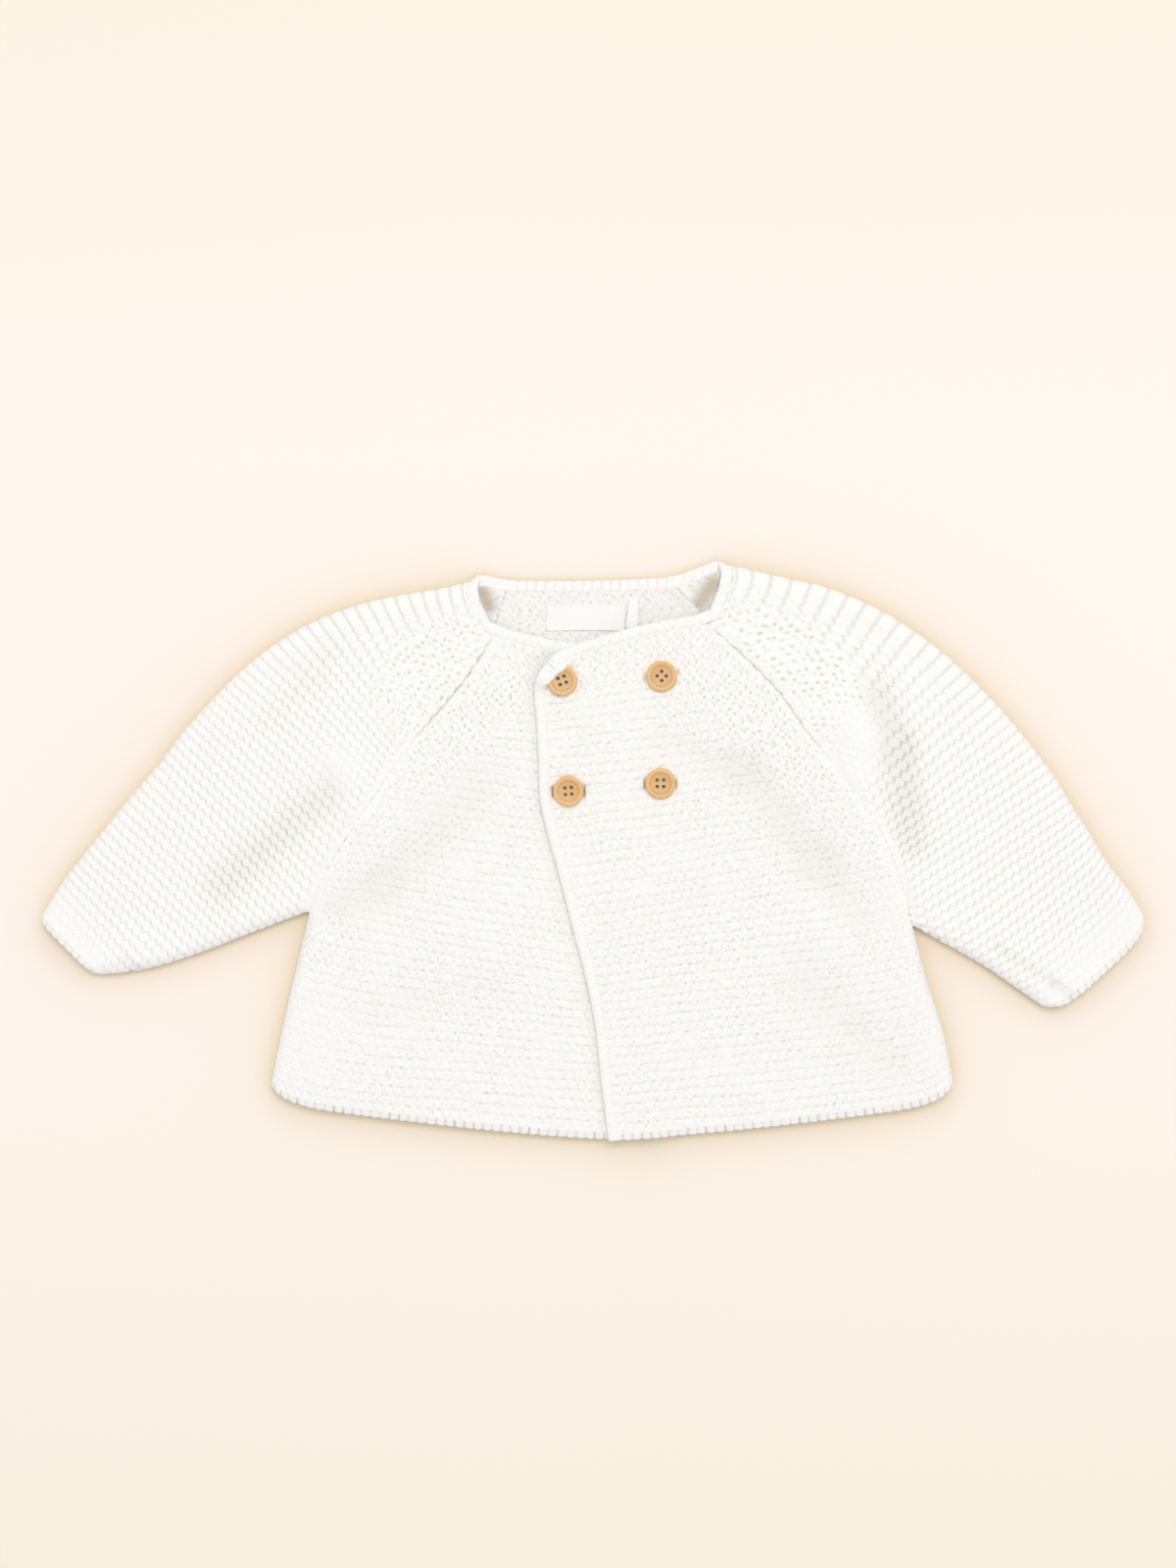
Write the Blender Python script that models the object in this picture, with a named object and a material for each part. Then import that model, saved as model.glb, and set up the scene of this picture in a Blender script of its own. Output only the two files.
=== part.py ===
# Baby cardigan in garter stitch, raglan sleeves, double-breasted, laid flat on its back.
# All sizes are in millimetres until a mesh is made; X runs across the garment, Y towards
# the neck and Z up from the surface it lies on. Left and right are the wearer's, so the
# left front and left sleeve lie at +X.
import math

import bmesh
import bpy
import numpy as np
from mathutils import Matrix, Vector

MM = 0.001

# Cloth
WALL = 3.0                  # garter-stitch cloth
SEAM_GAP = 0.3              # between two pieces at a seam
SEAM_HEIGHT = 3.9           # where front and back meet at a side seam, on the outside
BACK_ROLL = 3.6             # radius at which the back's cloth turns up at its sides
FOLD_HEIGHT = 3.8           # height of a sleeve's upper fold line
BODY_HEIGHT = 6.9           # top of the front layer at the middle of the body
SIDE_EXTRA = 0.7            # how much higher it lies towards the sleeves
PLUMP_RISE = 1.2            # rounded swelling along folds and side seams
PLUMP_REACH = 15.0
OVERLAP_RISE = 3.6          # the left front lies this much higher over the right one
OVERLAP_CLEAR = 6.0         # stays so a little past the right front's edge
OVERLAP_EASE = 18.0         # and comes down again over this width
RAGLAN_DROP = 1.0           # depth of the groove along a raglan seam
RAGLAN_ANGLE = math.radians(45)
RAGLAN_RUN = 6.0
ARMPIT_EASE = 38.0          # length over which the side roll turns into the raglan groove
ARMPIT_EASE_BACK = 17.0
LEAST_ANGLE = 0.03

# Hem: a shallow V with rounded corners, the same for both fronts
HEM_MIDDLE_X = 9.5
HEM_HALF_WIDTH = 157.0
HEM_CORNER_Y = -109.5
HEM_DEPTH = 24.0
HEM_CORNER_SHARE = 0.3
BACK_HEM_SHORTER = 1.5

# Edging
EDGING_WIDTH = 4.5
NECK_EDGING_WALL = 2.2      # thinner, so that it turns both shoulder folds
SHOULDER_EASE = 0.4         # and stands this much further off there

# Buttons
BUTTON_RADIUS = 7.0
BUTTON_THICKNESS = 2.8
BUTTON_RIM = 1.3
BUTTON_DISH = 0.7
BUTTON_HOLE_RADIUS = 0.85
BUTTON_HOLE_PITCH = 1.5     # from the middle to a hole, along X and Y
BUTTON_SIDES = 24
BUTTONS = {                 # x, y, turn of the holes in degrees
    "button_1": (-13.5, 76.5, 21),
    "button_2": (-10.5, 26.0, 5),
    "button_3": (32.0, 78.5, 45),
    "button_4": (31.5, 29.5, 0),
}

# Label and tab inside the back neck
LABEL_SIZE = (36.0, 12.0)
LABEL_MIDDLE = (-2.5, 106.0)
TAPE = 0.8
TAB_SIZE = (6.0, 14.0)
TAB_MIDDLE = (19.0, 107.5)

# Courses across the body and sleeve, one row each. Below the armpit the body has a side
# seam; above it the raglan seam parts front, sleeve and back.
BODY_COLUMNS = ("side_x", "side_y", "edge_x", "edge_y")
SLEEVE_COLUMNS = ("top_x", "top_y", "under_x", "under_y", "bow")
YOKE_COLUMNS = ("top_x", "top_y", "seam_x", "seam_y", "back_x", "back_y", "edge_x", "edge_y")

RIGHT_BODY = (              # hem upwards, wearer's right
    (-147.5, -109.5, 16.5, -133.5),
    (-143.0, -87.0, 18.5, -106.0),
    (-136.0, -56.0, 21.0, -79.0),
)
RIGHT_SLEEVE = (            # cuff upwards
    (-253.5, -33.0, -228.5, -58.5, 0.0),
    (-243.5, -16.5, -206.0, -56.0, 0.0),
    (-231.0, -0.5, -179.5, -48.0, 0.0),
    (-214.5, 20.0, -153.5, -38.0, 0.0),
)
RIGHT_YOKE = (              # armpit to neck
    (-198.0, 39.0, -129.5, -29.0, -129.5, -29.0, 23.0, -54.0),
    (-186.0, 55.0, -120.5, -8.5, -120.5, -8.5, 26.0, -27.0),
    (-159.0, 83.0, -98.5, 25.5, -98.0, 26.5, 29.0, 7.0),
    (-132.0, 101.5, -86.0, 43.5, -84.5, 46.5, 31.0, 27.0),
    (-107.0, 111.5, -76.5, 55.5, -72.5, 61.0, 33.0, 43.0),
    (-87.0, 116.0, -65.0, 68.5, -60.0, 78.0, 34.0, 58.5),
    (-69.0, 119.0, -54.0, 83.0, -47.0, 97.5, 35.0, 72.0),
    (-57.0, 122.0, -45.0, 97.5, -39.0, 118.5, 31.0, 88.5),
)
LEFT_BODY = (
    (166.5, -109.5, 12.5, -133.5),
    (162.0, -86.0, 9.0, -106.0),
    (154.0, -60.0, 6.0, -79.0),
)
LEFT_SLEEVE = (
    (254.5, -32.0, 209.0, -74.0, 5.5),
    (246.0, -18.5, 194.0, -63.5, 4.0),
    (236.0, -5.5, 178.5, -53.0, 2.5),
    (229.0, 6.5, 162.5, -44.0, 1.0),
)
LEFT_YOKE = (
    (222.5, 16.5, 147.5, -35.5, 147.5, -35.5, 1.0, -54.0),
    (210.0, 36.5, 141.0, -12.5, 140.5, -11.5, -4.0, -36.0),
    (189.5, 62.0, 130.5, 12.0, 128.0, 15.0, -11.0, -9.0),
    (165.0, 86.5, 112.5, 36.5, 108.0, 42.0, -18.5, 20.0),
    (138.0, 106.0, 99.5, 52.5, 92.0, 61.0, -19.5, 40.5),
    (111.0, 118.5, 86.0, 71.5, 76.0, 81.5, -20.5, 58.5),
    (88.5, 124.0, 72.0, 86.0, 58.5, 99.0, -21.5, 72.0),
    (64.0, 129.5, 53.5, 102.5, 39.0, 120.0, -19.5, 83.5),
)
RIGHT_NECK_SAG = 4.0        # how far each front's neck row hangs below its chord
LEFT_NECK_SAG = -2.5
BACK_NECK_SAG = 1.0
SLEEVE_NECK_BOW = 3.5       # how far the front neck row of a sleeve curves away from the neck

# Largest folds of the front layer: soft ridges (rise > 0) and troughs along short lines
FOLD_COLUMNS = ("x0", "y0", "x1", "y1", "rise", "reach")
FOLDS = (
    (-175, 55, -237, -37, 0.8, 14),     # outer half of the right sleeve
    (162, 69, 228, -16, 0.9, 14),       # outer half of the left sleeve
    (122, 65, 124, 34, 1.4, 10),        # swelling over the left raglan
    (-117, 38, -110, 17, 1.0, 9),       # and over the right one
    (-51, 31, -105, -20, -0.9, 11),     # drag from the right raglan to the armpit
    (45, 52, 73, 31, -0.8, 11),         # drag from the buttons to the left armpit
    (73, 31, 124, -20, -0.9, 11),
    (-127, 31, -197, -34, -1.0, 12),    # inner half of the right sleeve
    (130, 76, 145, 11, -1.3, 7),        # inner side of the left sleeve's top
    (-141, 76, -134, 70, -0.5, 8),
    (114, -68, 141, -86, -0.6, 10),     # shallow hollows above the hem
    (-99, -82, -90, -84, -0.5, 12),
    (-48, -72, -40, -70, -0.5, 12),
)

# Mesh steps
BODY_STEPS = 7
SLEEVE_STEPS = 8
YOKE_STEPS = 12
CURL_STEPS = 4
FINER = 4
CORNER_STEPS = 4
FRONT_STEPS = 9
SLEEVE_FLAT_STEPS = 6
BACK_STEPS = 18


def clear_scene():
    for item in list(bpy.data.objects):
        bpy.data.objects.remove(item, do_unlink=True)


def make_material(name, color, roughness):
    material = bpy.data.materials.new(name)
    material.use_nodes = True
    shader = material.node_tree.nodes["Principled BSDF"]
    shader.inputs["Base Color"].default_value = (*color, 1.0)
    shader.inputs["Roughness"].default_value = roughness
    shader.inputs["Metallic"].default_value = 0.0
    return material


def add_object(name, points, faces, color, roughness):
    mesh = bpy.data.meshes.new(name)
    mesh.from_pydata([tuple(float(v) * MM for v in p) for p in points], [], faces)
    mesh.validate()
    mesh.materials.append(make_material(name + "_finish", color, roughness))
    item = bpy.data.objects.new(name, mesh)
    bpy.context.collection.objects.link(item)
    fix = bmesh.new()
    fix.from_mesh(mesh)
    bmesh.ops.recalc_face_normals(fix, faces=fix.faces)
    fix.to_mesh(mesh)
    fix.free()
    mesh.shade_smooth()
    mesh.set_sharp_from_angle(angle=math.radians(50))
    return item


def smooth_step(value):
    value = np.clip(value, 0.0, 1.0)
    return value * value * (3.0 - 2.0 * value)


def pick(table, columns, *names):
    rows = np.array(table, dtype=float)
    return rows[:, [columns.index(name) for name in names]]


def spline(points, steps):
    """Catmull-Rom curve through the rows, cut into equal steps of the row number."""
    last = len(points) - 1
    padded = np.vstack([2 * points[0] - points[1], points, 2 * points[-1] - points[-2]])
    place = np.linspace(0.0, last, steps + 1)
    row = np.minimum(place.astype(int), last - 1)
    part = (place - row)[:, None]
    p0, p1, p2, p3 = (padded[row + shift] for shift in range(4))
    return 0.5 * (2 * p1 + (p2 - p0) * part + (2 * p0 - 5 * p1 + 4 * p2 - p3) * part ** 2
                  + (3 * p1 - p0 - 3 * p2 + p3) * part ** 3)


def run_length(points):
    steps = np.linalg.norm(np.diff(points, axis=0), axis=1)
    return np.concatenate([[0.0], np.cumsum(steps)])


def hem_line(x):
    share = np.clip(np.abs(x - HEM_MIDDLE_X) / HEM_HALF_WIDTH, 0.0, 1.0)
    corner = 1.0 - np.clip((share - 0.76) / 0.24, 0.0, 1.0) ** 4
    slope = 1.0 - share ** 1.35
    dip = HEM_CORNER_SHARE * corner + (1.0 - HEM_CORNER_SHARE) * slope
    return HEM_CORNER_Y - HEM_DEPTH * dip


def front_height(x, y):
    """Top of the front layer where no second front lies under it."""
    height = BODY_HEIGHT + SIDE_EXTRA * smooth_step((np.abs(x - HEM_MIDDLE_X) - 20.0) / 50.0)
    for x0, y0, x1, y1, rise, reach in FOLDS:
        along = np.array([x1 - x0, y1 - y0], dtype=float)
        place = ((x - x0) * along[0] + (y - y0) * along[1]) / along.dot(along)
        place = np.clip(place, 0.0, 1.0)
        away = np.hypot(x - x0 - place * along[0], y - y0 - place * along[1])
        height = height + rise * np.exp(-(away / reach) ** 2)
    return height


def hidden_edge_x(y):
    """Where the right front ends under the left one, edging included."""
    low = pick(RIGHT_BODY, BODY_COLUMNS, "edge_x", "edge_y")[0]
    high = pick(RIGHT_YOKE, YOKE_COLUMNS, "edge_x", "edge_y")[-2]
    share = (y - low[1]) / (high[1] - low[1])
    return low[0] + (high[0] - low[0]) * share + EDGING_WIDTH + SEAM_GAP


def upper_height(x, y):
    """Top of the left front, which lies on the right one at the middle."""
    past = (x - hidden_edge_x(y) - OVERLAP_CLEAR) / OVERLAP_EASE
    return front_height(x, y) + OVERLAP_RISE * (1.0 - smooth_step(past))


def skew(edge, toward):
    """Sine of the angle between a piece's edge and its rows, row by row."""
    along = np.gradient(edge, axis=0)
    along /= np.linalg.norm(along, axis=1)[:, None]
    rows = toward / np.linalg.norm(toward, axis=1)[:, None]
    return np.clip(np.abs(along[:, 0] * rows[:, 1] - along[:, 1] * rows[:, 0]), 0.45, 1.0)


def rolled_rows(start, end, height, first, last, flat_steps, bend=None):
    """Outer surface of one cloth, a row of points for each course.

    start and end are the plan points of each row's two ends. first and last say how the
    cloth rolls there: the arc's angle, its run along the row, and the edge's height. Each
    row has FINER points for every step of the mesh, so that its normals come out exact.
    """
    curl_steps = CURL_STEPS * FINER
    flat_steps = flat_steps * FINER
    chord = end - start
    length = np.linalg.norm(chord, axis=1)
    still = np.zeros(len(start))
    run_first = first["run"] if first else still
    run_last = last["run"] if last else still
    places, drops, codes = [], [], []

    def arc(roll, theta):
        angle = roll["angle"]
        return 1.0 - np.sin(theta) / np.sin(angle), (1.0 - np.cos(theta)) / (1.0 - np.cos(angle))

    if first:
        for step in range(curl_steps):
            in_from_edge, share = arc(first, first["angle"] * (1.0 - step / curl_steps))
            places.append(run_first * in_from_edge)
            drops.append(share)
            codes.append(0)
    for step in range(flat_steps + 1):
        places.append(run_first + (length - run_first - run_last) * step / flat_steps)
        drops.append(still)
        codes.append(-1)
    if last:
        for step in range(1, curl_steps + 1):
            in_from_edge, share = arc(last, last["angle"] * step / curl_steps)
            places.append(length - run_last * in_from_edge)
            drops.append(share)
            codes.append(1)
    place = np.stack(places, axis=1)
    drop = np.stack(drops, axis=1)
    codes = np.array(codes)[None, :]
    share = place / length[:, None]
    plan = start[:, None, :] + chord[:, None, :] * share[:, :, None]
    if bend is not None:
        plan = plan + bend(share, plan)
    base = height(plan[:, :, 0], plan[:, :, 1], place, length[:, None] - place)
    surface = base.copy()
    for roll, column, code in ((first, 0, 0), (last, -1, 1)):
        if roll:
            fall = (base[:, column] - roll["height"])[:, None] * drop
            surface = surface - np.where(codes == code, fall, 0.0)
    return np.dstack([plan, surface])


def thinned(grid, upward_first):
    """The mesh's own points out of a fine grid, with the surface's normal at each."""
    across = np.gradient(grid, axis=1, edge_order=2)
    along = np.gradient(grid, axis=0)
    normal = unit(np.cross(across, along))
    faces_up = normal[len(grid) // 2, (1 + CURL_STEPS) * FINER, 2] > 0
    if faces_up != upward_first:
        normal = -normal
    return grid[:, ::FINER], normal[:, ::FINER]


def wall_mesh(name, outer, normal, color, roughness=0.95):
    """A closed wall: the outer points, the same points moved in, and four edges."""
    rows, columns = outer.shape[:2]
    inner = outer - normal * WALL
    points = np.vstack([outer.reshape(-1, 3), inner.reshape(-1, 3)])
    offset = rows * columns

    def at(row, column, inside=False):
        return row * columns + column + (offset if inside else 0)

    faces = []
    for row in range(rows - 1):
        for column in range(columns - 1):
            corners = ((row, column), (row, column + 1), (row + 1, column + 1), (row + 1, column))
            faces.append([at(*c) for c in corners])
            faces.append([at(*c, True) for c in reversed(corners)])
    border = [(0, c) for c in range(columns)] + [(r, columns - 1) for r in range(1, rows)]
    border += [(rows - 1, c) for c in range(columns - 2, -1, -1)]
    border += [(r, 0) for r in range(rows - 2, 0, -1)]
    for here, there in zip(border, border[1:] + border[:1]):
        faces.append([at(*there), at(*here), at(*here, True), at(*there, True)])
    return add_object(name, points, faces, color, roughness)


def strip_mesh(name, stations, wall, color, roughness=0.95):
    """An edging: the same rounded section at each (point, outward, normal) of a cloth's edge."""
    low, high = SEAM_GAP, SEAM_GAP + EDGING_WIDTH
    section = ((low, 0.5), (low + 1.0, 0.0), (high - 1.0, 0.0), (high, wall / 3),
               (high, wall * 2 / 3), (high - 1.0, wall), (low + 1.0, wall), (low, wall - 0.5))
    points = []
    faces = []
    for point, outward, normal in stations:
        points += [point + outward * out - normal * depth for out, depth in section]
    sides = len(section)
    for ring in range(len(stations) - 1):
        for side in range(sides):
            here, there = ring * sides + side, ring * sides + (side + 1) % sides
            faces.append([here, there, there + sides, here + sides])
    faces.append(list(range(sides)))
    faces.append([len(points) - sides + side for side in reversed(range(sides))])
    return add_object(name, points, faces, color, roughness)


def unit(vectors):
    return vectors / np.linalg.norm(vectors, axis=-1)[..., None]


def side_data(body, sleeve, yoke, height):
    """Curves of one half of the garment, sampled at the rows that its pieces share."""
    armpit = pick(yoke, YOKE_COLUMNS, "seam_x", "seam_y")[:1]
    armpit_edge = pick(yoke, YOKE_COLUMNS, "edge_x", "edge_y")[:1]
    armpit_top = pick(yoke, YOKE_COLUMNS, "top_x", "top_y")[:1]
    data = {}
    data["side"] = spline(np.vstack([pick(body, BODY_COLUMNS, "side_x", "side_y"), armpit]), BODY_STEPS)
    body_edge = np.vstack([pick(body, BODY_COLUMNS, "edge_x", "edge_y"), armpit_edge])
    data["side_edge"] = spline(body_edge, BODY_STEPS)
    under = np.vstack([pick(sleeve, SLEEVE_COLUMNS, "under_x", "under_y"), armpit])
    data["under"] = spline(under, SLEEVE_STEPS)
    tops = np.vstack([pick(sleeve, SLEEVE_COLUMNS, "top_x", "top_y"), armpit_top])
    data["sleeve_top"] = spline(tops, SLEEVE_STEPS)
    bows = np.vstack([pick(sleeve, SLEEVE_COLUMNS, "bow"), [[0.0]]])
    data["bow"] = spline(bows, SLEEVE_STEPS)[:, 0]
    for curve in ("top", "seam", "back", "edge"):
        data["yoke_" + curve] = spline(pick(yoke, YOKE_COLUMNS, curve + "_x", curve + "_y"), YOKE_STEPS)
    seam = data["yoke_seam"]
    risen = smooth_step(run_length(seam) / ARMPIT_EASE)
    data["risen"] = risen
    top_of_seam = height(seam[:, 0], seam[:, 1]) - RAGLAN_DROP
    data["seam_z"] = SEAM_HEIGHT + (top_of_seam - SEAM_HEIGHT) * risen
    data["seam_angle"] = math.pi / 2 + (RAGLAN_ANGLE - math.pi / 2) * risen
    fallen = 1.0 - smooth_step(run_length(data["yoke_back"]) / ARMPIT_EASE_BACK)
    data["back_angle"] = np.maximum(math.pi / 2 * fallen, LEAST_ANGLE)
    return data


def joined(lower, upper):
    return np.concatenate([lower[:-1], upper])


def roll_width(drop):
    """Widest arc whose inner side still turns without crossing itself."""
    return np.clip(drop ** 2 / (WALL + 0.6), 3.3, 9.0)


def moved_in(edge, toward):
    """The edge drawn back by half the seam gap, measured square to the seam."""
    rows = unit(toward - edge)
    return edge + rows * (SEAM_GAP / 2 / skew(edge, toward - edge))[:, None]


def outer_roll(data, seam, inner_end, height):
    """How a front's or sleeve's outer end rolls down: side seam below, raglan above."""
    lower = len(seam) - len(data["risen"])
    full_drop = height(seam[:, 0], seam[:, 1]) + PLUMP_RISE - SEAM_HEIGHT
    risen = np.concatenate([np.zeros(lower), data["risen"]])
    width = roll_width(full_drop) * (1.0 - risen) + RAGLAN_RUN * risen
    angle = np.concatenate([np.full(lower, math.pi / 2), data["seam_angle"]])
    return {
        "angle": angle,
        "height": np.concatenate([np.full(lower, SEAM_HEIGHT), data["seam_z"]]),
        "run": width * np.sin(angle) / skew(seam, inner_end - seam),
        "risen": risen,
    }


def back_roll(angle, seam, inner_end):
    """How the bottom layer turns up towards a side or underarm seam."""
    return {
        "angle": angle,
        "height": BACK_ROLL * (1.0 - np.cos(angle)),
        "run": BACK_ROLL / skew(seam, inner_end - seam),
    }


def neck_share(rows):
    """How far each row takes part in the neck's curve: 1 at the neck, 0 from half the yoke down."""
    return np.clip((np.arange(rows) - rows + 1 + YOKE_STEPS / 2) / (YOKE_STEPS / 2), 0.0, 1.0) ** 2


def build_front(name, data, height, neck_sag, color):
    edge = joined(data["side_edge"], data["yoke_edge"])
    seam = joined(data["side"], data["yoke_seam"])
    roll = outer_roll(data, seam, edge, height)
    rows = len(seam)
    hem_share = np.clip(1.0 - np.arange(rows) / BODY_STEPS, 0.0, 1.0)
    sags = neck_share(rows) * neck_sag
    hem_start, hem_end = edge[0], seam[0]

    def bend(share, plan):
        hem_x = hem_start[0] + (hem_end[0] - hem_start[0]) * share
        chord_y = hem_start[1] + (hem_end[1] - hem_start[1]) * share
        drop = hem_share[:, None] * (hem_line(hem_x) - chord_y)
        drop = drop - sags[:, None] * 4.0 * share * (1.0 - share)
        return np.dstack([np.zeros_like(drop), drop])

    def lofted(x, y, from_start, from_end):
        plump = PLUMP_RISE * (1.0 - roll["risen"])[:, None] * np.exp(-(from_end / PLUMP_REACH) ** 2)
        return height(x, y) + plump

    rows = rolled_rows(edge, moved_in(seam, edge), lofted, None, roll, FRONT_STEPS, bend)
    outer, normal = thinned(rows, True)
    wall_mesh(name, outer, normal, color)
    return outer, normal


def build_sleeve(name, data, height, color):
    under = joined(data["under"], data["yoke_seam"])
    behind = joined(data["under"], data["yoke_back"])
    top = joined(data["sleeve_top"], data["yoke_top"])
    lower = SLEEVE_STEPS
    front_end = moved_in(under, top)
    back_end = moved_in(behind, top)
    front_roll = outer_roll(data, under, top, height)
    fold_drop = height(top[:, 0], top[:, 1]) + PLUMP_RISE - FOLD_HEIGHT
    square = np.full(len(top), math.pi / 2)
    halfway = np.full(len(top), FOLD_HEIGHT)
    fold_roll = {"angle": square, "height": halfway,
                 "run": roll_width(fold_drop) / skew(top, under - top)}
    turn = {"angle": square, "height": halfway, "run": FOLD_HEIGHT / skew(top, behind - top)}
    back_angle = np.concatenate([square[:lower], data["back_angle"]])
    bows = np.concatenate([data["bow"][:-1], np.zeros(len(data["yoke_top"]))])
    neck_bows = neck_share(len(top)) * SLEEVE_NECK_BOW
    away = unit(np.gradient(top, axis=0) + np.gradient(under, axis=0))

    def bend(share, plan, bows=bows):
        size = -bows[:, None] * (1.0 - (2.0 * share - 1.0) ** 4)
        return away[:, None, :] * size[:, :, None]

    def front_bend(share, plan):
        return bend(share, plan, bows + neck_bows)

    def lofted(x, y, from_under, from_fold):
        plump = PLUMP_RISE * np.exp(-(from_fold / PLUMP_REACH) ** 2)
        plump = plump + PLUMP_RISE * (1.0 - front_roll["risen"])[:, None] * np.exp(-(from_under / PLUMP_REACH) ** 2)
        return height(x, y) + plump

    def flat(x, y, from_fold, from_seam):
        return np.zeros_like(x)

    front = rolled_rows(front_end, top, lofted, front_roll, fold_roll, SLEEVE_FLAT_STEPS, front_bend)
    back = rolled_rows(top, back_end, flat, turn, back_roll(back_angle, behind, top),
                       SLEEVE_FLAT_STEPS, bend)
    outer, normal = thinned(np.concatenate([front, back[:, 1:]], axis=1), True)
    wall_mesh(name, outer, normal, color)
    return outer, normal


def build_back(name, left, right, color):
    west = joined(right["side"], right["yoke_back"])
    east = joined(left["side"], left["yoke_back"])
    rows = len(west)
    rolls = []
    for data, seam, other in ((right, west, east), (left, east, west)):
        angle = np.concatenate([np.full(BODY_STEPS, math.pi / 2), data["back_angle"]])
        rolls.append(back_roll(angle, seam, other))
    hem_share = np.clip(1.0 - np.arange(rows) / BODY_STEPS, 0.0, 1.0)
    sags = np.clip((np.arange(rows) - rows + 4) / 3.0, 0.0, 1.0) * BACK_NECK_SAG
    hem_start, hem_end = west[0], east[0]

    def bend(share, plan):
        hem_x = hem_start[0] + (hem_end[0] - hem_start[0]) * share
        chord_y = hem_start[1] + (hem_end[1] - hem_start[1]) * share
        inside = 1.0 - np.abs(2.0 * share - 1.0) ** 8
        drop = hem_share[:, None] * (hem_line(hem_x) + BACK_HEM_SHORTER * inside - chord_y)
        drop = drop - sags[:, None] * 4.0 * share * (1.0 - share)
        return np.dstack([np.zeros_like(drop), drop])

    def flat(x, y, from_west, from_east):
        return np.zeros_like(x)

    cloth = rolled_rows(moved_in(west, east), moved_in(east, west), flat, rolls[0], rolls[1],
                        BACK_STEPS, bend)
    outer, normal = thinned(cloth, False)
    wall_mesh(name, outer, normal, color)
    return outer, normal


def outward_from(edge, inside, normal):
    """Unit directions that leave a cloth square to its edge, within its surface."""
    outward = unit(np.cross(normal, np.gradient(edge, axis=0, edge_order=2)))
    wrong = np.sum(outward * (edge - inside), axis=1) < 0
    outward[wrong] *= -1.0
    return outward


def edge_stations(outer, normal):
    """Stations for an edging along a front's opening edge, turning its top corner."""
    outward = outward_from(outer[:, 0], outer[:, 1], normal[:, 0])
    upward = outward_from(outer[-1, :3], outer[-2, :3], normal[-1, :3])[0]
    stations = [(outer[row, 0], outward[row], normal[row, 0]) for row in range(len(outer))]
    for step in range(1, CORNER_STEPS + 1):
        turn = step / CORNER_STEPS * math.pi / 2
        turned = unit(outward[-1] * math.cos(turn) + upward * math.sin(turn))
        stations.append((outer[-1, 0], turned, normal[-1, 0]))
    return stations


def neck_stations(outer, normal, columns, fold=None):
    upward = outward_from(outer[-1], outer[-2], normal[-1])
    upward[:, 2] = 0.0      # level, so that the strip fans out round a shoulder fold
    upward = unit(upward)
    off = [0.0 if fold is None or abs(c - fold) > CURL_STEPS else SHOULDER_EASE for c in columns]
    return [(outer[-1, c] + upward[c] * e, upward[c], normal[-1, c]) for c, e in zip(columns, off)]


def build_neck_edging(fronts, sleeves, back, color):
    """One strip from the left front's corner round the neck to the right front's corner."""
    (left_outer, left_normal), (right_outer, right_normal) = fronts
    clear = CURL_STEPS
    front_columns = list(range(left_outer.shape[1] - clear))
    stations = neck_stations(left_outer, left_normal, front_columns)
    start, outward, normal = stations[0]
    inset = unit(left_outer[-1, 1] - left_outer[-1, 0]) * (SEAM_GAP + 0.2)
    stations[0] = (start + inset, outward, normal)
    fold = 2 * CURL_STEPS + SLEEVE_FLAT_STEPS
    sleeve_columns = [c for c in range(clear, sleeves[0][0].shape[1] - clear)
                      if abs(c - fold) > CURL_STEPS or (c - fold) % 2 == 0]
    stations += neck_stations(*sleeves[0], sleeve_columns, fold)
    back_columns = list(range(clear, back[0].shape[1] - clear))
    stations += neck_stations(*back, back_columns[::-1])
    stations += neck_stations(*sleeves[1], sleeve_columns[::-1], fold)
    last = neck_stations(right_outer, right_normal, front_columns[::-1])
    end, outward, normal = last[-1]
    inset = unit(right_outer[-1, 1] - right_outer[-1, 0]) * (SEAM_GAP + 0.2)
    last[-1] = (end + inset, outward, normal)
    stations += last
    strip_mesh("neck_edging", stations, NECK_EDGING_WALL, color)


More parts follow.
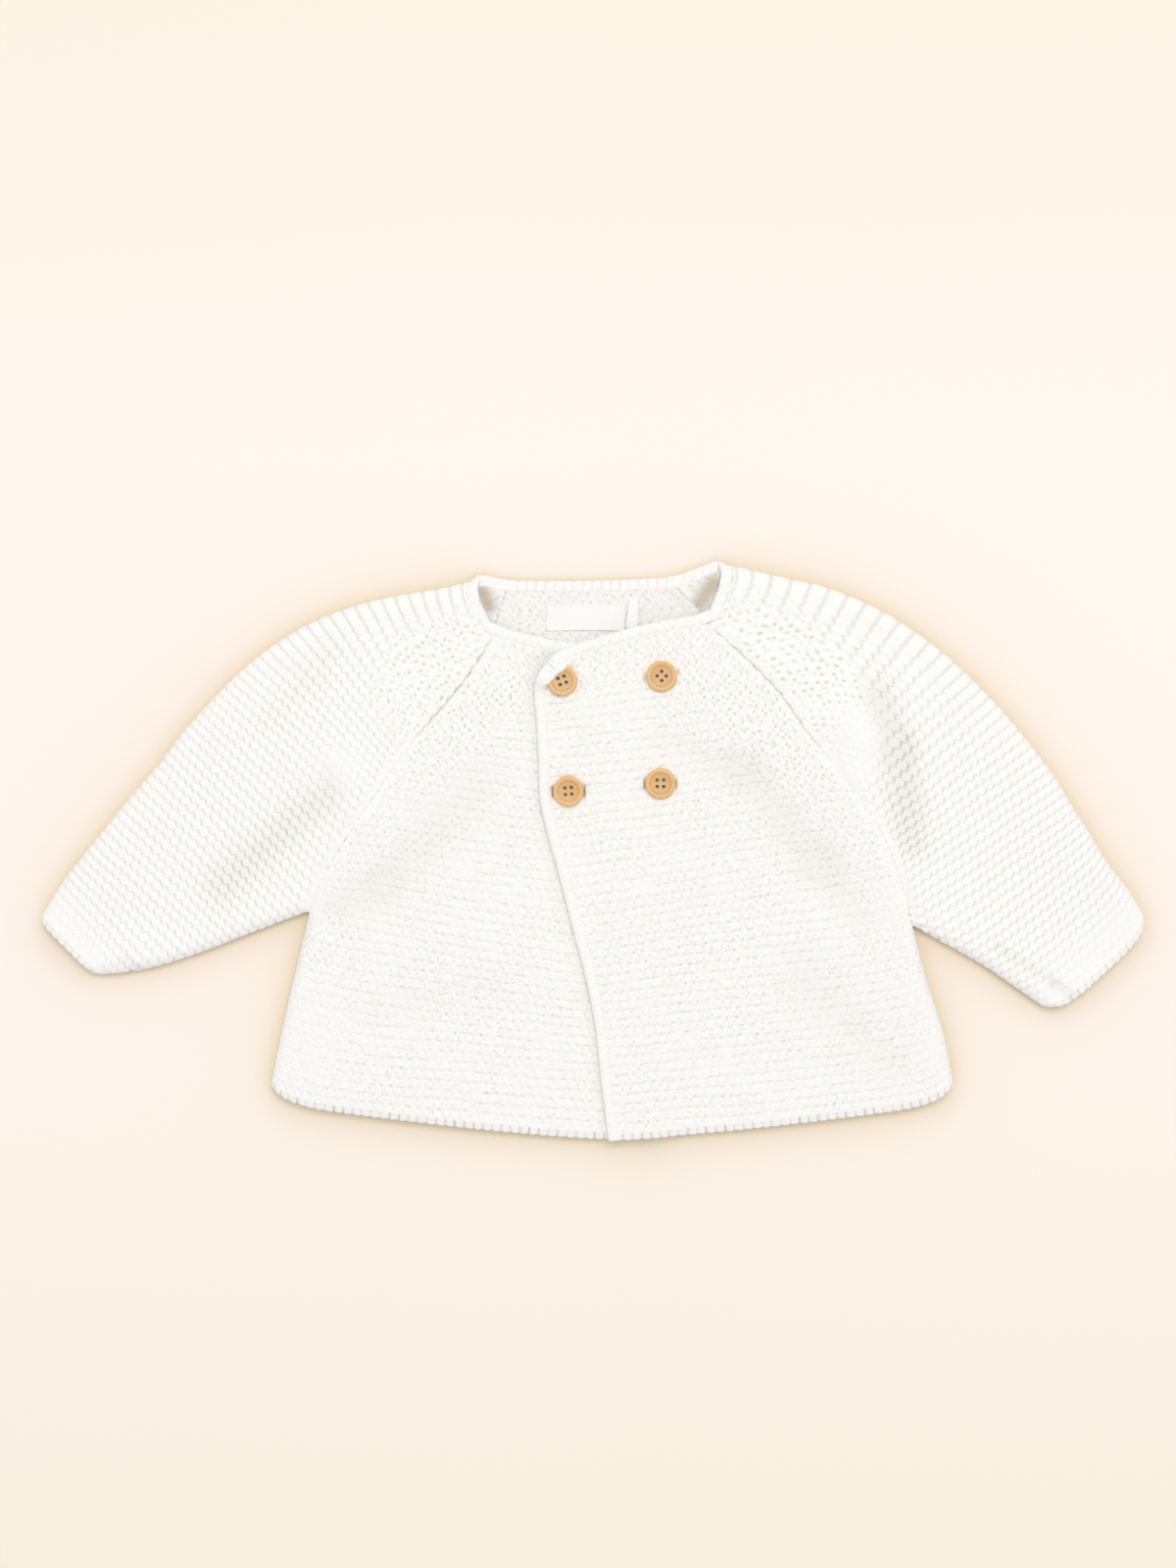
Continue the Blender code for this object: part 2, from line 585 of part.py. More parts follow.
def build_button(name, x, y, turn, seat):
    """A turned disc with a raised rim and four sewing holes cut through it."""
    inner = BUTTON_RADIUS - BUTTON_RIM
    profile = ((BUTTON_RADIUS - 0.9, 0.0), (BUTTON_RADIUS - 0.2, 0.6), (BUTTON_RADIUS, 1.3),
               (BUTTON_RADIUS - 0.2, BUTTON_THICKNESS - 0.5),
               (BUTTON_RADIUS - 0.7, BUTTON_THICKNESS),
               (inner, BUTTON_THICKNESS - 0.1), (inner - 0.7, BUTTON_THICKNESS - BUTTON_DISH))
    points = []
    faces = []
    for radius, height in profile:
        for side in range(BUTTON_SIDES):
            angle = 2 * math.pi * side / BUTTON_SIDES
            points.append((radius * math.cos(angle), radius * math.sin(angle), height))
    for ring in range(len(profile) - 1):
        for side in range(BUTTON_SIDES):
            here = ring * BUTTON_SIDES + side
            there = ring * BUTTON_SIDES + (side + 1) % BUTTON_SIDES
            faces.append([here, there, there + BUTTON_SIDES, here + BUTTON_SIDES])
    faces.append(list(reversed(range(BUTTON_SIDES))))
    faces.append([len(points) - BUTTON_SIDES + side for side in range(BUTTON_SIDES)])
    button = add_object(name, points, faces, (0.66, 0.42, 0.20), 0.5)
    button.location = Vector((x, y, seat + SEAM_GAP)) * MM
    button.rotation_euler = (0.0, 0.0, math.radians(turn))
    cutter_mesh = bpy.data.meshes.new(name + "_holes")
    drill = bmesh.new()
    for hole in range(4):
        angle = math.pi / 4 + hole * math.pi / 2
        spot = Vector((math.cos(angle), math.sin(angle), 0.0)) * BUTTON_HOLE_PITCH * math.sqrt(2)
        spot.z = BUTTON_THICKNESS / 2
        bmesh.ops.create_cone(drill, cap_ends=True, segments=8, radius1=BUTTON_HOLE_RADIUS * MM,
                              radius2=BUTTON_HOLE_RADIUS * MM, depth=2 * BUTTON_THICKNESS * MM,
                              matrix=Matrix.Translation(spot * MM))
    drill.to_mesh(cutter_mesh)
    drill.free()
    cutter = bpy.data.objects.new(name + "_holes", cutter_mesh)
    bpy.context.collection.objects.link(cutter)
    cutter.parent = button
    cutter.hide_render = True
    cutter.display_type = "WIRE"
    cut = button.modifiers.new("sewing holes", "BOOLEAN")
    cut.operation = "DIFFERENCE"
    cut.object = cutter
    cut.solver = "EXACT"


def build_label(name):
    """Woven label, sewn flat on the back just under the neck edging, with soft corners."""
    width, depth = LABEL_SIZE
    corner = 0.6
    outline = ((-width / 2 + corner, -depth / 2), (width / 2 - corner, -depth / 2),
               (width / 2, -depth / 2 + corner), (width / 2, depth / 2 - corner),
               (width / 2 - corner, depth / 2), (-width / 2 + corner, depth / 2),
               (-width / 2, depth / 2 - corner), (-width / 2, -depth / 2 + corner))
    low = WALL + SEAM_GAP
    points = [(LABEL_MIDDLE[0] + x, LABEL_MIDDLE[1] + y, low) for x, y in outline]
    points += [(x, y, low + TAPE) for x, y, _ in points]
    count = len(outline)
    faces = [list(reversed(range(count))), [count + i for i in range(count)]]
    faces += [[i, (i + 1) % count, count + (i + 1) % count, count + i] for i in range(count)]
    add_object(name, points, faces, (0.93, 0.93, 0.92), 0.7)


def build_tab(name):
    """A short tape folded double, its fold towards the hem, both ends under the label's line."""
    width, depth = TAB_SIZE
    x, y = TAB_MIDDLE
    low = WALL + SEAM_GAP
    radius = TAPE + 0.25
    path = [(y + depth / 2, low), (y - depth / 2 + radius, low)]
    inner = [(y + depth / 2, low + TAPE), (y - depth / 2 + radius, low + TAPE)]
    for step in range(1, 6):
        angle = math.pi * step / 6
        reach = radius * math.sin(angle)
        path.append((y - depth / 2 + radius - reach, low + radius * (1.0 - math.cos(angle))))
        small = (radius - TAPE) * math.sin(angle)
        inner.append((y - depth / 2 + radius - small, low + radius - (radius - TAPE) * math.cos(angle)))
    path += [(y - depth / 2 + radius, low + 2 * radius), (y + depth / 2, low + 2 * radius)]
    inner += [(y - depth / 2 + radius, low + 2 * radius - TAPE), (y + depth / 2, low + 2 * radius - TAPE)]
    outline = path + inner[::-1]
    count = len(outline)
    points = [(x - width / 2, py, pz) for py, pz in outline] + [(x + width / 2, py, pz) for py, pz in outline]
    half = len(path)
    faces = []
    for i in range(half - 1):
        faces.append([i, i + 1, count - 2 - i, count - 1 - i])
        faces.append([count + count - 1 - i, count + count - 2 - i, count + i + 1, count + i])
    faces += [[i, count + i, count + (i + 1) % count, (i + 1) % count] for i in range(count)]
    add_object(name, points, faces, (0.93, 0.93, 0.92), 0.7)


def seat_height(x, y):
    """Highest point of the left front under a button."""
    angles = np.linspace(0.0, 2 * math.pi, 24, endpoint=False)
    spots = [(x, y)] + [(x + r * math.cos(a), y + r * math.sin(a)) for a in angles for r in (4.0, BUTTON_RADIUS)]
    return max(float(upper_height(np.array(px), np.array(py))) for px, py in spots)


def build_part():
    clear_scene()
    right = side_data(RIGHT_BODY, RIGHT_SLEEVE, RIGHT_YOKE, front_height)
    left = side_data(LEFT_BODY, LEFT_SLEEVE, LEFT_YOKE, upper_height)
    wool = (0.93, 0.92, 0.90)
    back = build_back("back", left, right, (0.90, 0.88, 0.84))
    right_front = build_front("right_front", right, front_height, RIGHT_NECK_SAG, wool)
    left_front = build_front("left_front", left, upper_height, LEFT_NECK_SAG, wool)
    right_sleeve = build_sleeve("right_sleeve", right, front_height, wool)
    left_sleeve = build_sleeve("left_sleeve", left, upper_height, wool)
    strip_mesh("left_front_edging", edge_stations(*left_front), WALL, wool)
    strip_mesh("right_front_edging", edge_stations(*right_front), WALL, wool)
    build_neck_edging((left_front, right_front), (left_sleeve, right_sleeve), back, wool)
    for name, (x, y, turn) in BUTTONS.items():
        build_button(name, x, y, turn, seat_height(x, y))
    build_label("neck_label")
    build_tab("size_tab")


build_part()
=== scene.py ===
import math

import bmesh
import bpy
import numpy as np
from mathutils import Matrix, Vector


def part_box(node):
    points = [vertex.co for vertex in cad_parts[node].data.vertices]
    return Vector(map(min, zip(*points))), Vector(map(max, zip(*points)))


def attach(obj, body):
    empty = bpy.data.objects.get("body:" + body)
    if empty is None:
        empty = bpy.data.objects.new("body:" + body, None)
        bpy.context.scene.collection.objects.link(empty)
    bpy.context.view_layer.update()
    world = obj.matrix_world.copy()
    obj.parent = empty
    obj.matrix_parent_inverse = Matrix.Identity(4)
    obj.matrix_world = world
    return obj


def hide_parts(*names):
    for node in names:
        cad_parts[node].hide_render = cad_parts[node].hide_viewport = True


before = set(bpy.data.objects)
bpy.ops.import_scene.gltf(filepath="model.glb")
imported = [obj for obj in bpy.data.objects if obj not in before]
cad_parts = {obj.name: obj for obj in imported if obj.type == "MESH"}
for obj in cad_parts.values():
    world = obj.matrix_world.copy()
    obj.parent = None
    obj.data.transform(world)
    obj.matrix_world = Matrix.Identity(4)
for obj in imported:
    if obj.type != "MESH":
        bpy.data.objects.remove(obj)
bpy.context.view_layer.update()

# Baby cardigan in garter stitch, raglan sleeves and a double-breasted front, laid flat on its back.
# All sizes are millimetres until a mesh is made. Left and right are the wearer's, left at +X.
mm = 0.001

# how the cloth lies: heights are above the surface it rests on
cloth = {
    "wall": 3.0,
    "innerWall": 2.8,
    "seamGap": 0.3,
    "shownGap": 0.16,           # the knit closes up the seams a little more
    "seamHeight": 3.9,          # front meets back at a side seam
    "backRoll": 3.6,            # the back turns up at its sides
    "foldHeight": 3.8,          # upper fold of a sleeve
    "bodyHeight": 6.9,
    "sideExtra": 0.7,
    "plumpRise": 1.2,
    "plumpReach": 15.0,
    "overlapRise": 3.6,         # the left front lies this much higher over the right one
    "overlapClear": 6.0,
    "overlapEase": 18.0,
    "raglanDrop": 1.0,
    "raglanAngle": math.radians(45),
    "raglanRun": 6.0,
    "armpitEase": 38.0,
    "armpitEaseBack": 17.0,
    "leastAngle": 0.03,
    "leastSkew": 0.45,
    "leastRoll": 3.3,           # narrowest and widest roll at a seam or fold
    "widestRoll": 9.0,
    "rollExtra": 0.6,
    "sideFrom": 20.0,           # the body rises towards the sleeves from here, over this width
    "sideReach": 50.0,
}

hem = {
    "middleX": 9.5,
    "halfWidth": 157.0,
    "cornerY": -109.5,
    "depth": 24.0,
    "cornerShare": 0.3,
    "backShorter": 1.5,
    "cornerFrom": 0.76,         # the hem's corners turn up past this share of its half width
    "cornerReach": 0.24,
    "slopePower": 1.35,
}

# one row for each measured course, from the hem or cuff upwards
bodyColumns = ("sideX", "sideY", "edgeX", "edgeY")
sleeveColumns = ("topX", "topY", "underX", "underY", "bow")
yokeColumns = ("topX", "topY", "seamX", "seamY", "backX", "backY", "edgeX", "edgeY")

rightHalf = {
    "body": (
        (-147.5, -109.5, 16.5, -133.5),
        (-143.0, -87.0, 18.5, -106.0),
        (-136.0, -56.0, 21.0, -79.0),
    ),
    "sleeve": (
        (-253.5, -33.0, -228.5, -58.5, 0.0),
        (-243.5, -16.5, -206.0, -56.0, 0.0),
        (-231.0, -0.5, -179.5, -48.0, 0.0),
        (-214.5, 20.0, -153.5, -38.0, 0.0),
    ),
    "yoke": (
        (-198.0, 39.0, -129.5, -29.0, -129.5, -29.0, 23.0, -54.0),
        (-186.0, 55.0, -120.5, -8.5, -120.5, -8.5, 26.0, -27.0),
        (-159.0, 83.0, -98.5, 25.5, -98.0, 26.5, 29.0, 7.0),
        (-132.0, 101.5, -86.0, 43.5, -84.5, 46.5, 31.0, 27.0),
        (-107.0, 111.5, -76.5, 55.5, -72.5, 61.0, 33.0, 43.0),
        (-87.0, 116.0, -65.0, 68.5, -60.0, 78.0, 34.0, 58.5),
        (-69.0, 119.0, -54.0, 83.0, -47.0, 97.5, 35.0, 72.0),
        (-57.0, 122.0, -45.0, 97.5, -39.0, 118.5, 31.0, 88.5),
    ),
    "neckSag": 4.0,
}

leftHalf = {
    "body": (
        (166.5, -109.5, 12.5, -133.5),
        (162.0, -86.0, 9.0, -106.0),
        (154.0, -60.0, 6.0, -79.0),
    ),
    "sleeve": (
        (254.5, -32.0, 209.0, -74.0, 5.5),
        (246.0, -18.5, 194.0, -63.5, 4.0),
        (236.0, -5.5, 178.5, -53.0, 2.5),
        (229.0, 6.5, 162.5, -44.0, 1.0),
    ),
    "yoke": (
        (222.5, 16.5, 147.5, -35.5, 147.5, -35.5, 1.0, -54.0),
        (210.0, 36.5, 141.0, -12.5, 140.5, -11.5, -4.0, -36.0),
        (189.5, 62.0, 130.5, 12.0, 128.0, 15.0, -11.0, -9.0),
        (165.0, 86.5, 112.5, 36.5, 108.0, 42.0, -18.5, 20.0),
        (138.0, 106.0, 99.5, 52.5, 92.0, 61.0, -19.5, 40.5),
        (111.0, 118.5, 86.0, 71.5, 76.0, 81.5, -20.5, 58.5),
        (88.5, 124.0, 72.0, 86.0, 58.5, 99.0, -21.5, 72.0),
        (64.0, 129.5, 53.5, 102.5, 39.0, 120.0, -19.5, 83.5),
    ),
    "neckSag": -2.5,
}

# soft ridges (rise above 0) and troughs of the front layer: x0, y0, x1, y1, rise, reach
folds = (
    (-175, 55, -237, -37, 0.8, 14),
    (162, 69, 228, -16, 0.9, 14),
    (122, 65, 124, 34, 1.4, 10),
    (-117, 38, -110, 17, 1.0, 9),
    (-51, 31, -105, -20, -0.9, 11),
    (45, 52, 73, 31, -0.8, 11),
    (73, 31, 124, -20, -0.9, 11),
    (-127, 31, -197, -34, -1.0, 12),
    (130, 76, 145, 11, -1.3, 7),
    (-141, 76, -134, 70, -0.5, 8),
    (114, -68, 141, -86, -0.6, 10),
    (-99, -82, -90, -84, -0.5, 12),
    (-48, -72, -40, -70, -0.5, 12),
)

# the fine net: steps along the garment and across each piece, multiples of the solids' steps
net = {
    "body": 119,
    "sleeve": 128,
    "yoke": 216,
    "curl": 12,
    "curlPlain": 4,
    "front": 216,
    "sleeveFront": 120,
    "sleeveBack": 72,
    "back": 198,
    "frontPlain": 9,
    "sleevePlain": 6,
    "backPlain": 18,
}


def smoothStep(value):
    value = np.clip(value, 0.0, 1.0)
    return value * value * (3.0 - 2.0 * value)


def fade(value):
    # 1 up to 0, falling softly to 0 at 1
    return 1.0 - smoothStep(value)


def bell(away, reach):
    return np.exp(-(away / reach) ** 2)


def unit(vectors):
    return vectors / np.maximum(np.linalg.norm(vectors, axis=-1), 1e-9)[..., None]


def pick(table, columns, *names):
    return np.array(table, dtype=float)[:, [columns.index(name) for name in names]]


def splineAt(points, place):
    # Catmull-Rom curve through the rows, read at fractions of the row number
    last = len(points) - 1
    padded = np.vstack([2 * points[0] - points[1], points, 2 * points[-1] - points[-2]])
    row = np.minimum(place.astype(int), last - 1)
    part = (place - row)[:, None]
    p0, p1, p2, p3 = (padded[row + shift] for shift in range(4))
    return 0.5 * (2 * p1 + (p2 - p0) * part + (2 * p0 - 5 * p1 + 4 * p2 - p3) * part ** 2
                  + (3 * p1 - p0 - 3 * p2 + p3) * part ** 3)


def spline(points, steps):
    return splineAt(points, np.linspace(0.0, len(points) - 1, steps + 1))


def runLength(points):
    return np.concatenate([[0.0], np.cumsum(np.linalg.norm(np.diff(points, axis=0), axis=1))])


def joined(lower, upper):
    return np.concatenate([lower[:-1], upper])


def hemLine(x):
    share = np.clip(np.abs(x - hem["middleX"]) / hem["halfWidth"], 0.0, 1.0)
    corner = 1.0 - np.clip((share - hem["cornerFrom"]) / hem["cornerReach"], 0.0, 1.0) ** 4
    slope = 1.0 - share ** hem["slopePower"]
    share = hem["cornerShare"]
    return hem["cornerY"] - hem["depth"] * (share * corner + (1.0 - share) * slope)


def softLines(x, y, lines, start=0.0):
    # adds up ridges and troughs that fade out on both sides of short lines
    total = start + np.zeros_like(x)
    for x0, y0, x1, y1, rise, reach in lines:
        along = np.array([x1 - x0, y1 - y0], dtype=float)
        place = np.clip(((x - x0) * along[0] + (y - y0) * along[1]) / along.dot(along), 0.0, 1.0)
        total = total + rise * bell(np.hypot(x - x0 - place * along[0], y - y0 - place * along[1]), reach)
    return total


def frontHeight(x, y):
    outward = (np.abs(x - hem["middleX"]) - cloth["sideFrom"]) / cloth["sideReach"]
    return softLines(x, y, folds, cloth["bodyHeight"] + cloth["sideExtra"] * smoothStep(outward))


def hiddenEdgeX(y):
    # where the right front ends under the left one
    low = pick(rightHalf["body"], bodyColumns, "edgeX", "edgeY")[0]
    high = pick(rightHalf["yoke"], yokeColumns, "edgeX", "edgeY")[-2]
    share = (y - low[1]) / (high[1] - low[1])
    return low[0] + (high[0] - low[0]) * share + edging["width"] + cloth["seamGap"]


def upperHeight(x, y):
    past = (x - hiddenEdgeX(y) - cloth["overlapClear"]) / cloth["overlapEase"]
    return frontHeight(x, y) + cloth["overlapRise"] * fade(past)


def skew(edge, toward):
    along = unit(np.gradient(edge, axis=0))
    rows = unit(toward)
    return np.clip(np.abs(along[:, 0] * rows[:, 1] - along[:, 1] * rows[:, 0]), cloth["leastSkew"], 1.0)


def arcShare(roll, theta):
    angle = roll["angle"]
    return 1.0 - np.sin(theta) / np.sin(angle), (1.0 - np.cos(theta)) / (1.0 - np.cos(angle))


def rolledRows(start, end, height, first, last, flatSteps, bend=None):
    # outer surface of one cloth: a row of points for each course, rolled down at its ends
    curlSteps = net["curl"]
    chord = end - start
    length = np.linalg.norm(chord, axis=1)
    still = np.zeros(len(start))
    runFirst = first["run"] if first else still
    runLast = last["run"] if last else still
    places, drops, codes = [], [], []
    if first:
        for step in range(curlSteps):
            inFromEdge, share = arcShare(first, first["angle"] * (1.0 - step / curlSteps))
            places.append(runFirst * inFromEdge)
            drops.append(share)
            codes.append(0)
    for step in range(flatSteps + 1):
        places.append(runFirst + (length - runFirst - runLast) * step / flatSteps)
        drops.append(still)
        codes.append(-1)
    if last:
        for step in range(1, curlSteps + 1):
            inFromEdge, share = arcShare(last, last["angle"] * step / curlSteps)
            places.append(length - runLast * inFromEdge)
            drops.append(share)
            codes.append(1)
    place = np.stack(places, axis=1)
    drop = np.stack(drops, axis=1)
    codes = np.array(codes)[None, :]
    share = place / length[:, None]
    plan = start[:, None, :] + chord[:, None, :] * share[:, :, None]
    if bend is not None:
        plan = plan + bend(share, plan)
    base = height(plan[:, :, 0], plan[:, :, 1], place, length[:, None] - place)
    surface = base.copy()
    for roll, column, code in ((first, 0, 0), (last, -1, 1)):
        if roll:
            fall = (base[:, column] - roll["height"])[:, None] * drop
            surface = surface - np.where(codes == code, fall, 0.0)
    return np.dstack([plan, surface])


def gridNormals(grid, upward):
    across = np.gradient(grid, axis=1, edge_order=2)
    along = np.gradient(grid, axis=0)
    normal = unit(np.cross(across, along))
    facesUp = normal[len(grid) // 2, net["curl"] + 4, 2] > 0
    return normal if facesUp == upward else -normal


def halfCurves(half, height):
    # curves of one half of the garment, sampled at the rows that its pieces share
    def lowerCurve(part, columns, curve, meets):
        end = pick(half["yoke"], yokeColumns, meets + "X", meets + "Y")[:1]
        return spline(np.vstack([pick(half[part], columns, curve + "X", curve + "Y"), end]), net[part])

    curves = {
        "side": lowerCurve("body", bodyColumns, "side", "seam"),
        "sideEdge": lowerCurve("body", bodyColumns, "edge", "edge"),
        "under": lowerCurve("sleeve", sleeveColumns, "under", "seam"),
        "sleeveTop": lowerCurve("sleeve", sleeveColumns, "top", "top"),
    }
    bows = np.vstack([pick(half["sleeve"], sleeveColumns, "bow"), [[0.0]]])
    curves["bow"] = spline(bows, net["sleeve"])[:, 0]
    for curve in ("top", "seam", "back", "edge"):
        curves["yoke" + curve.title()] = spline(
            pick(half["yoke"], yokeColumns, curve + "X", curve + "Y"), net["yoke"])
    seam = curves["yokeSeam"]
    risen = smoothStep(runLength(seam) / cloth["armpitEase"])
    curves["risen"] = risen
    topOfSeam = height(seam[:, 0], seam[:, 1]) - cloth["raglanDrop"]
    curves["seamZ"] = cloth["seamHeight"] + (topOfSeam - cloth["seamHeight"]) * risen
    curves["seamAngle"] = math.pi / 2 + (cloth["raglanAngle"] - math.pi / 2) * risen
    fallen = 1.0 - smoothStep(runLength(curves["yokeBack"]) / cloth["armpitEaseBack"])
    curves["backAngle"] = np.maximum(math.pi / 2 * fallen, cloth["leastAngle"])
    return curves


def rollWidth(drop):
    width = drop ** 2 / (cloth["wall"] + cloth["rollExtra"])
    return np.clip(width, cloth["leastRoll"], cloth["widestRoll"])


def movedIn(edge, toward):
    return edge + unit(toward - edge) * (cloth["shownGap"] / 2 / skew(edge, toward - edge))[:, None]


def outerRoll(curves, seam, innerEnd, height):
    lower = len(seam) - len(curves["risen"])
    fullDrop = height(seam[:, 0], seam[:, 1]) + cloth["plumpRise"] - cloth["seamHeight"]
    risen = np.concatenate([np.zeros(lower), curves["risen"]])
    width = rollWidth(fullDrop) * (1.0 - risen) + cloth["raglanRun"] * risen
    angle = np.concatenate([np.full(lower, math.pi / 2), curves["seamAngle"]])
    return {
        "angle": angle,
        "height": np.concatenate([np.full(lower, cloth["seamHeight"]), curves["seamZ"]]),
        "run": width * np.sin(angle) / skew(seam, innerEnd - seam),
        "risen": risen,
    }


def backRollAt(angle, seam, innerEnd):
    return {
        "angle": angle,
        "height": cloth["backRoll"] * (1.0 - np.cos(angle)),
        "run": cloth["backRoll"] / skew(seam, innerEnd - seam),
    }


def neckShare(rows):
    # how far each row takes part in the neck's curve: 1 at the neck, 0 from half the yoke down
    half = net["yoke"] / 2
    return np.clip((np.arange(rows) - rows + 1 + half) / half, 0.0, 1.0) ** 2


stitches = {
    "ridge": 4.4,               # from one ridge to the next
    "width": 4.3,
    "crest": 0.22,              # how far a crest stands out of the solid's surface
    "scallop": 0.17,            # how far a valley wanders up and down, in ridges
    "secondWave": 0.3,
    "valleyReach": 0.42,        # half width of a valley, in ridges
    "deepTurn": 1.1,            # where in a stitch its valley is deepest
    "steadyCalm": 0.85,         # steady stitches wander this much less, grainy ones swing less
    "grainCalm": 0.7,
    "body": {"depth": 0.36, "uneven": 0.15, "bead": 0.10, "grain": 1.0, "lines": 0.76, "seeds": 0.48},
    "sleeve": {"depth": 0.72, "uneven": 0.08, "bead": 0.05, "grain": 0.2, "lines": 0.9, "seeds": 0.0},
    "back": {"depth": 0.4, "uneven": 0.08, "bead": 0.07, "grain": 0.8, "lines": 0.6, "seeds": 0.3},
    "drift": ((0.28, 34.0), (0.20, 41.0)),      # slow wander along and up: share, size in mm
    "jitter": ((0.12, 1.3), (0.07, 1.1)),       # quick wander along and up: share, size in stitches
    "patches": (0.30, 23.0),    # deeper and shallower patches: share, size in mm
    "flecks": (0.6, 0.8),       # deeper and shallower stitches: share, size in stitches
    "fineGrain": (0.37, 0.19),  # sizes of the yarn's own unevenness
    "seedPatch": 13.0,
    "seedDip": 0.14,
    "seedDepth": 0.30,          # small holes of the yoke
    "seedWidth": 0.16,
    "seedHeight": 0.5,
    "deepestCrease": 1.7,
    "creaseClear": 5.0,         # creases fade out this near to a raglan seam
    "creaseShade": 0.07,
    "lieFrom": 3.0,             # what lies lower than this is pressed flat by the floor
    "pressed": 0.03,
}

# the knit beside a raglan seam
raglan = {
    "band": 2.6,                # smooth next to the seam
    "bandEase": 1.6,
    "holesEase": 9.0,           # the yoke's holes end over this width, at a wandering line
    "holesWander": (7.0, 15.0),
    "holesJitter": ((0.20, 1.6), (0.14, 1.9)),
    "holesGrain": (0.22, 0.45),
    "farFrom": 0.35,            # the seam lies closed from this share of the yoke's rows down
    "farReach": 0.3,
    "nearRows": 7.0,            # closed again this near to the neck band
    "closed": (0.20, 0.52, 0.55),       # how far the knit fills the groove: between, far, near
    "wander": (0.42, 0.36),     # how much more and less, stitch by stitch, and less of it far down
    "wanderTurn": 0.62,
    "wanderNoise": (0.8, 7.0),
    "lineWidth": 1.3,
    "shade": 0.42,              # the drawn-in line between
    "shadeNoise": (0.8, 5.0),
    "shadeWidth": 1.0,
    "insideFrom": 88.0,         # inside, the seam allowance makes a soft ridge near the neck
    "insideEase": 16.0,
    "insideRise": 1.3,
    "insideWidth": 3.2,
}

# first course at hem and cuffs
castOn = {
    "height": 3.3,
    "ease": 0.7,
    "rounding": (0.9, 3.0),     # its rim bends away by this much, over this height
    "tickHeight": 2.2,
    "tickEase": 0.9,
    "tickWidth": 0.10,
    "tickDepth": 0.6,
    "tickStrength": (0.5, 0.8, 0.12),   # least, random part, and that of the faint ones between
    "shade": 0.5,
}

# soft ridges and troughs that only the fine cloth has: x0, y0, x1, y1, rise, reach
creases = (
    (131, 70, 141, 44, -1.5, 6.5),
    (141, 44, 146, 2, -1.6, 8.5),
    (108, 60, 127, 49, 1.0, 8.0),
    (116, 36, 121, 16, 0.6, 6.0),
    (-110, 46, -105, 12, 0.9, 6.0),
    (-122, 24, -170, -18, -1.2, 9.0),
    (35, 48, 69, 34, -0.9, 9.0),
    (69, 34, 104, -8, -1.5, 10.0),
    (104, -8, 124, -31, -1.2, 9.0),
    (-115, -28, -96, -18, -1.4, 8.0),
    (-96, -18, -51, 27, -1.2, 10.0),
    (95, -60, 138, -100, -1.1, 12.0),
    (-100, -74, -48, -66, -0.5, 10.0),
    (-146, 58, -120, 88, -0.5, 7.0),
    (186, -46, 213, -63, -0.9, 2.4),
    (213, -63, 221, -69, -1.3, 2.6),
    (-214, -52, -206, -58, -0.8, 3.0),
)

# shallow ones of the layers that lie underneath
underCreases = (
    (-60, -40, 70, 5, -0.5, 9.0),
    (-118, 22, -30, 70, -0.45, 8.0),
    (120, -10, 40, 60, -0.45, 8.0),
    (-150, 20, -205, -25, -0.5, 8.0),
    (150, 15, 205, -20, -0.5, 8.0),
)


def cellRandom(i, j, seed):
    value = np.sin(i * 12.9898 + j * 78.233 + seed * 37.719) * 43758.5453
    return value - np.floor(value)


def softNoise(x, y, size, seed):
    # smooth value noise, from -1 to 1
    x = x / size + 3.7 * seed
    y = y / size - 2.3 * seed
    i, j = np.floor(x), np.floor(y)
    a, b = smoothStep(x - i), smoothStep(y - j)
    low = cellRandom(i, j, seed) * (1 - a) + cellRandom(i + 1, j, seed) * a
    high = cellRandom(i, j + 1, seed) * (1 - a) + cellRandom(i + 1, j + 1, seed) * a
    return 2.0 * (low * (1 - b) + high * b) - 1.0


def stitchCoordinates(grid, ridge, fromColumn, columns=slice(None)):
    # u counts stitches along a row, v counts ridges up the piece
    steps = np.linalg.norm(np.diff(grid, axis=1), axis=2)
    run = np.concatenate([np.zeros((len(grid), 1)), np.cumsum(steps, axis=1)], axis=1)
    u = (run - run[:, fromColumn][:, None]) / stitches["width"]
    along = unit(grid[:, -1] - grid[:, 0])[:-1, None]
    rise = np.linalg.norm(np.cross(np.diff(grid, axis=0), along), axis=2)[:, columns].mean(axis=1)
    v = np.concatenate([[0.0], np.cumsum(rise)])[:, None] / ridge + np.zeros_like(u)
    return u, v


def seamDistance(grid, seam):
    distance = np.full(grid.shape[:2], 1e6)
    for x, y in seam[::4]:
        distance = np.minimum(distance, np.hypot(grid[:, :, 0] - x, grid[:, :, 1] - y))
    return distance


def creaseBend(grid, lines, away=None):
    # soft creases, never too deep, fading out beside a raglan seam
    bend = np.maximum(softLines(grid[:, :, 0], grid[:, :, 1], lines), -stitches["deepestCrease"])
    return bend if away is None else bend * (1.0 - 0.9 * bell(away, stitches["creaseClear"]))


